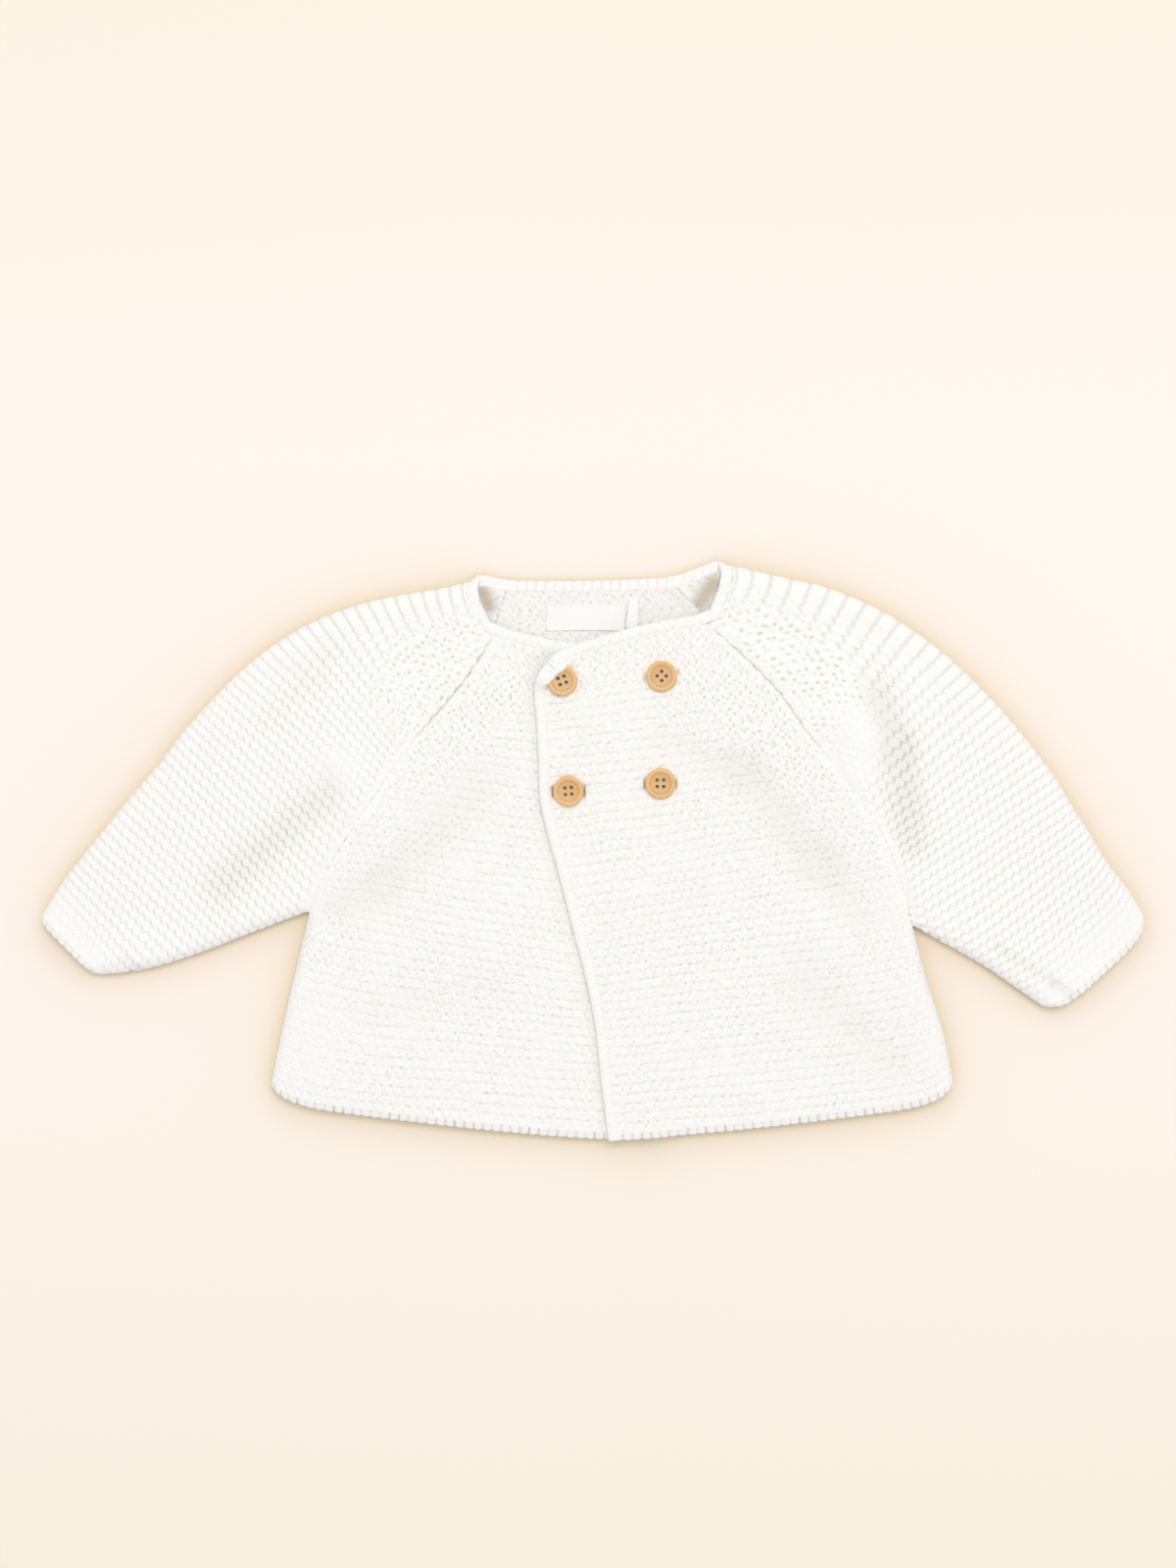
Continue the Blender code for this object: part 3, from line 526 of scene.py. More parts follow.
def garterHeight(u, v, steady, grain):
    # rounded ridges parted by zigzag valleys, each valley half a stitch on from the one below;
    # a valley is deepest once a stitch, unless steady is 1. The height is 1 on a crest.
    valley = np.floor(v)
    phase = 2 * np.pi * (u + 0.5 * valley)
    swing = stitches["scallop"] * (1.0 - stitches["steadyCalm"] * steady)
    swing = swing * (1.0 - stitches["grainCalm"] * grain)
    zigzag = swing * (np.cos(phase) + stitches["secondWave"] * np.sin(2 * phase))
    away = np.clip(np.abs(v - valley - 0.5 - zigzag) / stitches["valleyReach"], 0.0, 1.0)
    tube = np.sqrt(1.0 - (1.0 - away) ** 2)
    deep = 0.5 + 0.5 * np.cos(phase + stitches["deepTurn"])
    return 1.0 - (steady + (1.0 - steady) * (0.4 + 0.6 * deep)) * (1.0 - tube)


def beadShape(u, v):
    # each ridge is a chain of loops, staggered from ridge to ridge
    ridge = np.round(v)
    return np.cos(2 * np.pi * (u + 0.5 * ridge)) * (0.5 + 0.5 * np.cos(2 * np.pi * (v - ridge)))


def seedShape(u, v):
    # one small hole for each stitch and half ridge, staggered from course to course
    course = np.round(2.0 * v)
    place = u + 0.5 * course
    sideways = (place - np.round(place)) / stitches["seedWidth"]
    return np.exp(-sideways ** 2 - ((2.0 * v - course) / stitches["seedHeight"]) ** 2)


def seamLine(away, still, side):
    # along a raglan seam the knit closes the groove near both ends and is drawn in between,
    # each stitch differently; still is 0 everywhere
    rows = len(away)
    rowsDown = rows - 1.0 - np.arange(rows)[:, None]
    noiseShare, noiseSize = raglan["wanderNoise"]
    wander = np.sin(rowsDown * raglan["wanderTurn"])
    wander = side * (wander + noiseShare * softNoise(rowsDown + still, still, noiseSize, 61))
    far = smoothStep((rowsDown / net["yoke"] - raglan["farFrom"]) / raglan["farReach"])
    near = bell(rowsDown, raglan["nearRows"])
    between, closedFar, closedNear = raglan["closed"]
    swing, lessFar = raglan["wander"]
    closed = between + closedFar * far + closedNear * near + (swing - lessFar * far) * (1.0 - near) * wander
    noiseShare, noiseSize = raglan["shadeNoise"]
    drawn = smoothStep(0.6 + noiseShare * softNoise(rowsDown + still, still, noiseSize, 62))
    drawn = (1.0 - far) * (1.0 - near) * drawn
    closed = closed * bell(away, raglan["lineWidth"])
    return closed, raglan["shade"] * drawn * bell(away, raglan["shadeWidth"])


def castOnCourse(u, fromEdge, seed, ticks):
    # share of the first course, its notches, one for each stitch, and its relief
    first = fade((fromEdge - castOn["height"]) / castOn["ease"])
    part = u - np.floor(u) - 0.5
    half = u + 0.5 - np.floor(u + 0.5) - 0.5
    least, random, faint = castOn["tickStrength"]
    strength = least + random * cellRandom(np.floor(u), 0, seed + 13)
    tick = strength * bell(part, castOn["tickWidth"]) + faint * bell(half, castOn["tickWidth"])
    tick = ticks * tick * fade((fromEdge - castOn["tickHeight"]) / castOn["tickEase"])
    depth, reach = castOn["rounding"]
    return first, tick, stitches["crest"] - depth * fade(fromEdge / reach) - castOn["tickDepth"] * tick


def knitRelief(grid, u, v, kind, seed, seam=None, holesReach=24.0, upper=1.0, neckward=0.0,
               smoothSpots=(), steady=0.0, ticks=1.0, lines=(), side=1.0):
    # how far each point stands out of the plain surface; the marks that the yarn's look is drawn from
    # (painted shade in the lines between ridges and in seed-like holes, steadiness, grain, painted shade in
    # hollows); the stitch coordinates
    make = stitches[kind]
    x, y = grid[:, :, 0], grid[:, :, 1]
    fromEdge = v * stitches["ridge"]
    ownU, away = u, None
    steady = steady + np.zeros_like(u)
    shake = 1.0 - stitches["steadyCalm"] * steady
    shake = shake * (0.9 + 0.6 * make["grain"])
    (slowU, slowSizeU), (slowV, slowSizeV) = stitches["drift"]
    (quickU, quickSizeU), (quickV, quickSizeV) = stitches["jitter"]
    u = (u + slowU * softNoise(x, y, slowSizeU, seed)
         + quickU * shake * softNoise(u, v, quickSizeU, seed + 3))
    v = (v + slowV * softNoise(x, y, slowSizeV, seed + 1)
         + quickV * shake * softNoise(u, v, quickSizeV, seed + 4))
    share, size = stitches["patches"]
    depth = make["depth"] * (1.0 + share * softNoise(x, y, size, seed + 7)) * (1.0 - 0.4 * steady)
    share, size = stitches["flecks"]
    depth = depth * (1.0 + share * make["grain"] * softNoise(u, 3.0 * v, size, seed + 9))
    relief = stitches["crest"] + depth * (garterHeight(u, v, steady, make["grain"]) - 1.0)
    relief = relief + make["bead"] * shake * beadShape(u, v)
    coarse, fine = stitches["fineGrain"]
    grain = make["uneven"] * (softNoise(u, v, coarse, seed + 6) + 0.6 * softNoise(u, v, fine, seed + 16))
    lineShadeShare = np.full_like(u, make["lines"])
    seeds = make["seeds"] * smoothStep(0.6 + 0.9 * softNoise(x, y, stitches["seedPatch"], seed + 17))
    relief = relief - stitches["seedDip"] * seeds * seedShape(u, v)
    # painted shade along drawn-in raglan seams, in the notches of the first course and in creases
    hollowShade = np.zeros_like(u)
    if seam is not None:
        away = seamDistance(grid, seam)
        share, size = raglan["holesWander"]
        reach = holesReach + share * softNoise(x, y, size, seed + 8)
        holes = upper * fade((away - reach) / raglan["holesEase"]) * (1.0 - 0.9 * steady)
        holes = np.maximum(holes, 0.8 * neckward)
        (quickU, quickSizeU), (quickV, quickSizeV) = raglan["holesJitter"]
        u = u + quickU * holes * softNoise(ownU, fromEdge, quickSizeU, seed + 21)
        v = v + quickV * holes * softNoise(ownU, fromEdge, quickSizeV, seed + 22)
        share, size = raglan["holesGrain"]
        holed = stitches["crest"] - 0.1 - stitches["seedDepth"] * seedShape(u, v)
        holed = holed + share * softNoise(u, v, size, seed + 23)
        relief = relief * (1.0 - holes) + holed * holes
        band = fade((away - raglan["band"]) / raglan["bandEase"])
        relief = relief * (1.0 - 0.85 * band)
        closed, shaded = seamLine(away, np.zeros_like(u), side)
        relief = relief + closed
        hollowShade = hollowShade + shaded
        lineShadeShare = lineShadeShare * (1.0 - 0.92 * holes) * (1.0 - band)
        faint = 1.0 - (0.10 * make["grain"] + 0.22 * np.clip(neckward, 0.0, 1.0))
        seeds = (seeds * (1.0 - holes) + holes * faint) * smoothStep((away - 1.8) / 1.0)
    for spotX, spotY, reach, kept in smoothSpots:
        near = (1.0 - kept) * np.exp(-(((x - spotX) ** 2 + (y - spotY) ** 2) / reach ** 2))
        relief, lineShadeShare, seeds = relief * (1.0 - near), lineShadeShare * (1.0 - near), seeds * (1.0 - near)
        grain = grain * (1.0 - 0.7 * near)
    relief = relief + grain
    if ticks:
        first, tick, edge = castOnCourse(ownU, fromEdge, seed, ticks)
        relief = relief * (1.0 - first) + edge * first
        lineShadeShare, seeds = lineShadeShare * (1.0 - first), seeds * (1.0 - first)
        hollowShade = hollowShade + castOn["shade"] * tick * first
    bend = creaseBend(grid, lines, away)
    relief = relief + bend
    hollowShade = np.clip(hollowShade + stitches["creaseShade"] * np.maximum(-bend, 0.0), 0, 1)
    marks = np.stack([lineShadeShare, seeds, steady, np.full_like(u, make["grain"]), hollowShade], axis=2)
    return relief, marks, np.dstack([u, v])


def pressedFlat(grid, relief):
    # the stitches are pressed in where the cloth rests on the floor
    resting = smoothStep((stitches["lieFrom"] - grid[:, :, 2]) / stitches["lieFrom"])
    return relief - resting * (stitches["crest"] + stitches["pressed"])

# the cloth slips over the top button's rim
lip = {
    "from": (-20.0, 74.3),
    "to": (-11.8, 81.5),
    "cover": 1.0,               # it lies this much above the button
    "least": 0.2,
    "depth": 6.4,
    "ease": 7.0,
    "softness": (1.3, 0.9),     # of its rim, and how much softer for each mm past its ends
    "startEase": (9.5, 10.5),   # how far past its ends it reaches, and over what length it falls
    "endEase": (9.0, 10.0),
}

# ends of the buttonholes and stretched stitches beside the buttons, each a dip with painted shade: x, y,
# half width, half height, share
slits = (
    (-17.7, 25.6, 0.6, 2.9, 1.0),
    (-3.3, 26.0, 0.6, 3.0, 1.0),
    (24.4, 29.2, 0.55, 2.8, 0.9),
    (38.7, 29.2, 0.5, 2.8, 0.8),
    (24.4, 77.8, 0.6, 2.2, 0.45),
    (39.4, 80.4, 0.8, 1.4, 0.4),
    (-4.9, 74.6, 0.6, 1.8, 0.3),
)
slitDepth = 1.3


def lipShape(x, y):
    # 1 where the cloth covers the top button's rim, falling to 0 round it
    start, stop = np.array(lip["from"]), np.array(lip["to"])
    along = unit(stop - start)
    run = (x - start[0]) * along[0] + (y - start[1]) * along[1]
    past = -(x - start[0]) * along[1] + (y - start[1]) * along[0]
    length = np.linalg.norm(stop - start)
    soft, softer = lip["softness"]
    soft = soft + softer * np.maximum(-run, 0.0) + softer * np.maximum(run - length, 0.0)
    shape = smoothStep((past + 0.4 * soft) / soft) * fade((past - lip["depth"]) / lip["ease"])
    (before, startEase), (after, endEase) = lip["startEase"], lip["endEase"]
    return shape * smoothStep((run + before) / startEase) * smoothStep((length + after - run) / endEase)


def lipRise(top, shape):
    return np.maximum(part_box("button_1")[1][2] / mm + lip["cover"] - top, lip["least"]) * shape


def besideButtons(grid, relief, marks):
    # the lip over the top button, the slits beside the others, dipped and with painted shade, and painted
    # shade below all four
    x, y = grid[:, :, 0], grid[:, :, 1]
    shape = lipShape(x, y)
    relief = relief * (1.0 - shape) + lipRise(grid[:, :, 2], shape)
    marks[:, :, :2] *= (1.0 - shape)[:, :, None]
    marks[:, :, 3] *= 1.0 - 0.7 * shape
    for slitX, slitY, width, height, share in slits:
        near = share * np.exp(-((x - slitX) / width) ** 4 - ((y - slitY) / height) ** 4)
        relief = relief - slitDepth * near
        marks[:, :, 4] = np.maximum(marks[:, :, 4], near)
    for place in buttons["places"].values():
        beneath = np.exp(-(((x - place[0]) ** 2 + (y - place[1]) ** 2) / buttons["underShadeReach"] ** 2) ** 2)
        marks[:, :, 4] = np.maximum(marks[:, :, 4], beneath)
    return relief, marks


def roundCorner(grid, reach):
    # the corner at the last row and first column follows an arc
    right = unit(np.gradient(grid, axis=1))
    up = unit(np.gradient(grid, axis=0))
    fromSide = np.cumsum(np.linalg.norm(np.diff(grid, axis=1, prepend=grid[:, :1]), axis=2), axis=1)
    fromTop = np.linalg.norm(np.diff(grid, axis=0, append=grid[-1:]), axis=2)[::-1]
    fromTop = np.cumsum(fromTop, axis=0)[::-1]
    a = np.clip(1.0 - fromSide / reach, 0.0, 1.0)
    b = np.clip(1.0 - fromTop / reach, 0.0, 1.0)
    inward = reach * a * (1.0 - np.sqrt(1.0 - b * b / 2.0))
    down = reach * b * (1.0 - np.sqrt(1.0 - a * a / 2.0))
    return grid + right * inward[:, :, None] - up * down[:, :, None]


def newObject(name, data):
    thing = bpy.data.objects.new(name, data)
    bpy.context.collection.objects.link(thing)
    return thing


def finishPiece(piece, node):
    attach(piece, "root")
    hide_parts(node)
    return piece


def knitObject(name, node, points, faces, uv, marks, material):
    # marks: painted shade of the valley lines and of the seed-like holes, steadiness, grain, and painted
    # shade in hollows, for each point
    mesh = bpy.data.meshes.new(name)
    mesh.from_pydata((np.asarray(points) * mm).tolist(), [], faces)
    layer = mesh.uv_layers.new(name="stitches")
    corners = np.empty(len(mesh.loops), dtype=np.int64)
    mesh.loops.foreach_get("vertex_index", corners)
    layer.data.foreach_set("uv", np.asarray(uv, dtype=np.float32)[corners].ravel())
    marks = np.asarray(marks, dtype=np.float32)
    attribute = mesh.attributes.new("marks", "FLOAT_COLOR", "POINT")
    attribute.data.foreach_set("color", np.ascontiguousarray(marks[:, :4]).ravel())
    attribute = mesh.attributes.new("hollowShade", "FLOAT", "POINT")
    attribute.data.foreach_set("value", np.ascontiguousarray(marks[:, 4]))
    mesh.materials.append(material)
    mesh.shade_smooth()
    piece = newObject(name, mesh)
    fix = bmesh.new()
    fix.from_mesh(mesh)
    bmesh.ops.recalc_face_normals(fix, faces=fix.faces)
    fix.to_mesh(mesh)
    fix.free()
    return finishPiece(piece, node)


def gridFaces(at, turned=False):
    corners = [at[:-1, :-1], at[:-1, 1:], at[1:, 1:], at[1:, :-1]]
    if turned:
        corners = [corners[k] for k in (0, 3, 2, 1)]
    return np.stack(corners, axis=2).reshape(-1, 4).tolist()


# rounded rims of a shell: two rings between its outer and its inner side
rim = {
    "shares": (0.3, 0.72),
    "bulge": 0.7,
    "scallop": (0.75, 0.35),
}


def knitShell(name, node, outer, normal, relief, marks, uv, insideRows, insideColumns, material,
              insideRelief=None, insideMarks=None, floor=None, spread=None):
    # a thin shell: a fine outer side, a plainer inner side, and rounded rims at its first row
    rows, columns = outer.shape[:2]
    raised = outer + normal * relief[:, :, None]
    if floor is not None:
        raised[:, :, 2] = np.maximum(raised[:, :, 2], floor)
    inward = outer - normal * cloth["innerWall"]
    if insideRelief is not None:
        inward = inward - normal * insideRelief[:, :, None]
    if spread is not None:
        inward[:, 0] += unit(outer[:, 0] - outer[:, 2]) * spread[:, None]
        inward[:, -1] += unit(outer[:, -1] - outer[:, -3]) * spread[:, None]
    inner = inward[np.ix_(insideRows, insideColumns)]
    if insideMarks is None:
        insideMarks = np.zeros_like(marks)
    border = [(0, c) for c in range(columns)] + [(r, columns - 1) for r in range(1, rows)]
    border += [(rows - 1, c) for c in range(columns - 2, -1, -1)]
    border += [(r, 0) for r in range(rows - 2, 0, -1)]
    at = np.arange(rows * columns).reshape(rows, columns)
    innerAt = rows * columns + np.arange(inner.shape[0] * inner.shape[1]).reshape(inner.shape[:2])
    points = [raised.reshape(-1, 3), inner.reshape(-1, 3)]
    allUv = [uv.reshape(-1, 2), uv[np.ix_(insideRows, insideColumns)].reshape(-1, 2)]
    allMarks = [marks.reshape(-1, 5), insideMarks[np.ix_(insideRows, insideColumns)].reshape(-1, 5)]
    count = rows * columns + innerAt.size
    rings = []
    edgeRow, edgeColumn = np.array(border).T
    outward = np.zeros((len(border), 3))
    low = edgeRow == 0
    outward[low] = unit(outer[0, edgeColumn[low]] - outer[2, edgeColumn[low]])
    least, swing = rim["scallop"]
    for share in rim["shares"]:
        top, bottom = raised[edgeRow, edgeColumn], inward[edgeRow, edgeColumn]
        scallop = least + swing * np.cos(2 * np.pi * uv[edgeRow, edgeColumn, 0])
        points.append(top * (1.0 - share) + bottom * share + outward * (rim["bulge"] * scallop)[:, None])
        allUv.append(uv[edgeRow, edgeColumn] - np.array([0.0, share]))
        allMarks.append(marks[edgeRow, edgeColumn] * (1.0 - share))
        rings.append(count + np.arange(len(border)))
        count += len(border)
    faces = gridFaces(at) + gridFaces(innerAt, True)
    edge = at[edgeRow, edgeColumn]
    for upper, lower in ((edge, rings[0]), (rings[0], rings[1])):
        faces += np.stack([np.roll(upper, -1), upper, lower, np.roll(lower, -1)], axis=1).tolist()
    rowPlace = {row: k for k, row in enumerate(insideRows)}
    columnPlace = {column: k for k, column in enumerate(insideColumns)}
    stops = [k for k, (r, c) in enumerate(border) if r in rowPlace and c in columnPlace]
    for here, there in zip(stops, stops[1:] + stops[:1]):
        span = list(range(here, there + 1)) if there > here else list(range(here, len(border))) + [0]
        (r0, c0), (r1, c1) = border[here], border[there]
        face = [int(rings[1][k]) for k in reversed(span)]
        face += [int(innerAt[rowPlace[r0], columnPlace[c0]]), int(innerAt[rowPlace[r1], columnPlace[c1]])]
        faces.append(face)
    return knitObject(name, node, np.vstack(points), faces, np.vstack(allUv), np.vstack(allMarks),
                      material)


def spaced(start, stop, step):
    places = list(range(start, stop, step))
    return places + [stop]


def asPanel(piece, grid, normal, plain=None):
    # what the edgings need, and the area and flat size of the cut; the cut is measured on the plain surface
    plain = grid if plain is None else plain
    width = np.linalg.norm(np.diff(plain, axis=1), axis=2).sum(axis=1).max() * mm
    length = np.linalg.norm(np.diff(plain, axis=0), axis=2).sum(axis=0).max() * mm
    diagonalA = plain[1:, 1:] - plain[:-1, :-1]
    diagonalB = plain[1:, :-1] - plain[:-1, 1:]
    area = 0.5 * np.linalg.norm(np.cross(diagonalA, diagonalB), axis=2).sum() * mm * mm
    return {"piece": piece, "grid": grid, "normal": normal, "area": round(float(area), 5),
            "flat": (round(float(width), 4), round(float(length), 4))}


def newGroup(name, inputs, outputs):
    group = bpy.data.node_groups.new(name, "ShaderNodeTree")
    for label, kind, value in inputs:
        socket = group.interface.new_socket(name=label, in_out="INPUT", socket_type=kind)
        if value is not None:
            socket.default_value = value
    for label, kind in outputs:
        group.interface.new_socket(name=label, in_out="OUTPUT", socket_type=kind)
    return group, group.nodes.new("NodeGroupInput"), group.nodes.new("NodeGroupOutput")


def addNode(tree, kind, settings=None, **values):
    node = tree.nodes.new(kind)
    for key, value in (settings or {}).items():
        setattr(node, key, value)
    for key, value in values.items():
        node.inputs[key.replace("_", " ")].default_value = value
    return node


def mathNode(tree, operation, first, second=None, clamp=False):
    node = tree.nodes.new("ShaderNodeMath")
    node.operation = operation
    node.use_clamp = clamp
    for place, value in enumerate((first, second)):
        if value is None:
            continue
        if isinstance(value, (int, float)):
            node.inputs[place].default_value = value
        else:
            tree.links.new(value, node.inputs[place])
    return node.outputs[0]


def mixColor(tree, share, first, second):
    node = tree.nodes.new("ShaderNodeMix")
    node.data_type = "RGBA"
    for place, value in ((0, share), (6, first), (7, second)):
        if isinstance(value, (int, float, tuple)):
            node.inputs[place].default_value = value
        else:
            tree.links.new(value, node.inputs[place])
    return node.outputs[2]


def newMaterial(name, **values):
    # the values are the same all over the surface
    material = bpy.data.materials.new(name)
    material.use_nodes = True
    shader = material.node_tree.nodes["Principled BSDF"]
    for key, value in values.items():
        shader.inputs[key.replace("_", " ")].default_value = value
    return material, material.node_tree, shader


def addBump(tree, shader, height, strength, depth):
    bump = addNode(tree, "ShaderNodeBump", Strength=strength, Distance=depth)
    tree.links.new(height, bump.inputs["Height"])
    tree.links.new(bump.outputs["Normal"], shader.inputs["Normal"])


yarn = {
    "outside": (0.968, 0.967, 0.955, 1.0),
    "inside": (0.94, 0.93, 0.905, 1.0),
    # the next two are painted shade colours: one for the valley lines, holes and low spots between lumps,
    # and a warmer one for hollows, creases, seams and notches
    "line": (0.46, 0.43, 0.38, 1.0),
    "hollowShade": (0.42, 0.30, 0.16, 1.0),
    # how strongly painted shade darkens the valley lines, the holes and the low spots between lumps
    "lineShadeShare": 0.30,
    "seedShadeShare": 0.56,
    "lumpShadeShare": 0.12,
    "lineReach": 0.19,          # half width of the painted shade line in a valley, in ridges
    "lineSwell": (0.27, 0.73),  # it is darkest once a stitch
    "lineBreaks": (1.3, 0.36, 0.60),    # size and range of the noise that interrupts it
    "holeWidth": (0.24, 0.06),  # on smooth knit, and how much narrower on grainy knit
    "holeHeight": (0.34, 0.20),     # and how much higher
    "holeShift": (0.42, 0.45),
    "holeRim": 1.15,
    "holeChance": -0.45,        # below 0 few holes are faint
    "fine": (2.6, 3.2),         # small uneven lumps: scale, strength
    "lumps": 0.30,
    "beads": 0.22,
    "fibre": 9.0,
    "warmShade": (0.1, 0.4),   # painted shade turns warm over this range
    "bump": 0.5,
    "bumpDepth": 0.0006,
    "sheen": 0.2,
    "sheenRoughness": 0.55,
    "gloss": 0.2,
}


def makeYarnGroup():
    # spun yarn: fine grain and fibres, with painted shade in thin lines between the ridges, in seed-like
    # holes, between small lumps and in hollows
    group, inputs, outputs = newGroup("spunYarn", (
        ("Stitches", "NodeSocketVector", None),
        ("Marks", "NodeSocketVector", None),
        ("Grain", "NodeSocketFloat", 1.0),
        ("Hollow", "NodeSocketFloat", 0.0),
        ("Yarn", "NodeSocketColor", (0.9, 0.88, 0.84, 1.0)),
        # painted shade: these colours and shares darken the yarn in valley lines, holes, low spots and
        # hollows
        ("Line Color", "NodeSocketColor", (0.5, 0.45, 0.4, 1.0)),
        ("Hollow Color", "NodeSocketColor", (0.5, 0.4, 0.3, 1.0)),
        ("Line Share", "NodeSocketFloat", 0.3),
        ("Seed Share", "NodeSocketFloat", 0.4),
        ("Dull Share", "NodeSocketFloat", 0.1),
    ), (("Color", "NodeSocketColor"), ("Height", "NodeSocketFloat"), ("Roughness", "NodeSocketFloat")))
    links = group.links

    def do(operation, first, second=None):
        return mathNode(group, operation, first, second)

    def plus(first, second, clamp=False):
        return mathNode(group, "ADD", first, second, clamp)

    def minus(first, second):
        return do("SUBTRACT", first, second)

    def times(first, second):
        return do("MULTIPLY", first, second)

    def ramp(value, low, high, atLow, atHigh):
        node = addNode(group, "ShaderNodeMapRange", {"interpolation_type": "SMOOTHSTEP"}, From_Min=low,
                       From_Max=high, To_Min=atLow, To_Max=atHigh)
        links.new(value, node.inputs["Value"])
        return node.outputs["Result"]

    def noise(scale, detail, roughness=0.5):
        node = addNode(group, "ShaderNodeTexNoise", Scale=scale, Detail=detail, Roughness=roughness)
        links.new(inputs.outputs["Stitches"], node.inputs["Vector"])
        return node.outputs["Fac"]

    def parted(vector):
        node = group.nodes.new("ShaderNodeSeparateXYZ")
        links.new(vector, node.inputs[0])
        return node.outputs[:3]

    u, v = parted(inputs.outputs["Stitches"])[:2]
    lines, seeds, steady = parted(inputs.outputs["Marks"])
    grain = inputs.outputs["Grain"]

    # painted shade: the dark line in each valley wanders with the relief and is darkest once a stitch
    valley = do("FLOOR", v)
    phase = times(plus(u, times(valley, 0.5)), 2 * math.pi)
    swing = times(minus(1.0, times(steady, stitches["steadyCalm"])), stitches["scallop"])
    swing = times(swing, minus(1.0, times(grain, stitches["grainCalm"])))
    wave = plus(do("COSINE", phase), times(do("SINE", times(phase, 2.0)), stitches["secondWave"]))
    across = minus(minus(v, valley), plus(times(swing, wave), 0.5))
    line = ramp(do("ABSOLUTE", across), 0.0, yarn["lineReach"], 1.0, 0.0)
    swell, level = yarn["lineSwell"]
    deep = plus(times(do("COSINE", plus(phase, stitches["deepTurn"])), swell), level)
    size, low, high = yarn["lineBreaks"]
    kept = minus(1.0, times(grain, minus(1.0, ramp(noise(size, 2.0), low, high, 0.0, 1.0))))
    line = times(times(times(line, do("MAXIMUM", deep, steady)), kept), lines)

    # painted shade in holes, one for each stitch and half ridge, of uneven strength
    course = do("ROUND", times(v, 2.0))
    place = plus(u, times(course, 0.5))
    nearest = do("ROUND", place)
    cell = group.nodes.new("ShaderNodeCombineXYZ")
    links.new(nearest, cell.inputs[0])
    links.new(course, cell.inputs[1])
    chance = addNode(group, "ShaderNodeTexWhiteNoise", {"noise_dimensions": "2D"})
    links.new(cell.outputs[0], chance.inputs["Vector"])
    shiftU, shiftV = parted(chance.outputs["Color"])[:2]
    (width, narrower), (height, higher) = yarn["holeWidth"], yarn["holeHeight"]
    aside = times(minus(shiftU, 0.5), yarn["holeShift"][0])
    above = times(minus(shiftV, 0.5), yarn["holeShift"][1])
    sideways = do("DIVIDE", plus(minus(place, nearest), aside), minus(width, times(grain, narrower)))
    upwards = do("DIVIDE", plus(minus(times(v, 2.0), course), above), plus(times(grain, higher), height))
    apart = do("SQRT", plus(times(sideways, sideways), times(upwards, upwards)))
    strength = ramp(chance.outputs["Value"], yarn["holeChance"], 1.0, 0.0, 1.0)
    hole = times(times(ramp(apart, 0.0, yarn["holeRim"], 1.0, 0.0), strength), seeds)

    # each ridge is a chain of loops; then small uneven lumps and the fibres
    beat = do("COSINE", times(plus(u, times(do("ROUND", v), 0.5)), 2 * math.pi))
    crest = plus(times(do("COSINE", times(v, 2 * math.pi)), 0.5), 0.5)
    bead = times(times(beat, crest), minus(1.0, steady))
    lumps = times(do("COSINE", times(phase, 2.0)), do("COSINE", times(v, 4 * math.pi)))
    size, share = yarn["fine"]
    fine = plus(times(minus(noise(size, 2.0), 0.5), share), times(lumps, yarn["lumps"]))
    fine = times(fine, plus(times(grain, 0.6), 0.4))
    fine = plus(fine, times(bead, yarn["beads"]))
    fibre = noise(yarn["fibre"], 4.0, 0.65)

    # painted shade from the valley lines, the holes and the low spots between lumps
    shade = plus(times(line, inputs.outputs["Line Share"]), times(hole, inputs.outputs["Seed Share"]))
    lumpShade = times(do("MAXIMUM", minus(0.15, fine), 0.0), inputs.outputs["Dull Share"])
    shade = plus(shade, lumpShade, clamp=True)
    tint = mixColor(group, shade, inputs.outputs["Yarn"], inputs.outputs["Line Color"])
    # painted shade in hollows, creases, seams and notches, warmer where it is strong
    warmth = ramp(inputs.outputs["Hollow"], *yarn["warmShade"], 0.0, 1.0)
    deepTint = mixColor(group, warmth, inputs.outputs["Line Color"], inputs.outputs["Hollow Color"])
    tint = mixColor(group, inputs.outputs["Hollow"], tint, deepTint)
    scaled = addNode(group, "ShaderNodeVectorMath", {"operation": "SCALE"})
    links.new(tint, scaled.inputs[0])
    links.new(plus(times(minus(fibre, 0.5), 0.05), 1.0), scaled.inputs["Scale"])
    links.new(scaled.outputs[0], outputs.inputs["Color"])
    raised = minus(plus(times(fine, 0.5), times(fibre, 0.3)), plus(line, hole))
    links.new(raised, outputs.inputs["Height"])
    links.new(plus(times(fibre, 0.12), 0.84), outputs.inputs["Roughness"])
    return group


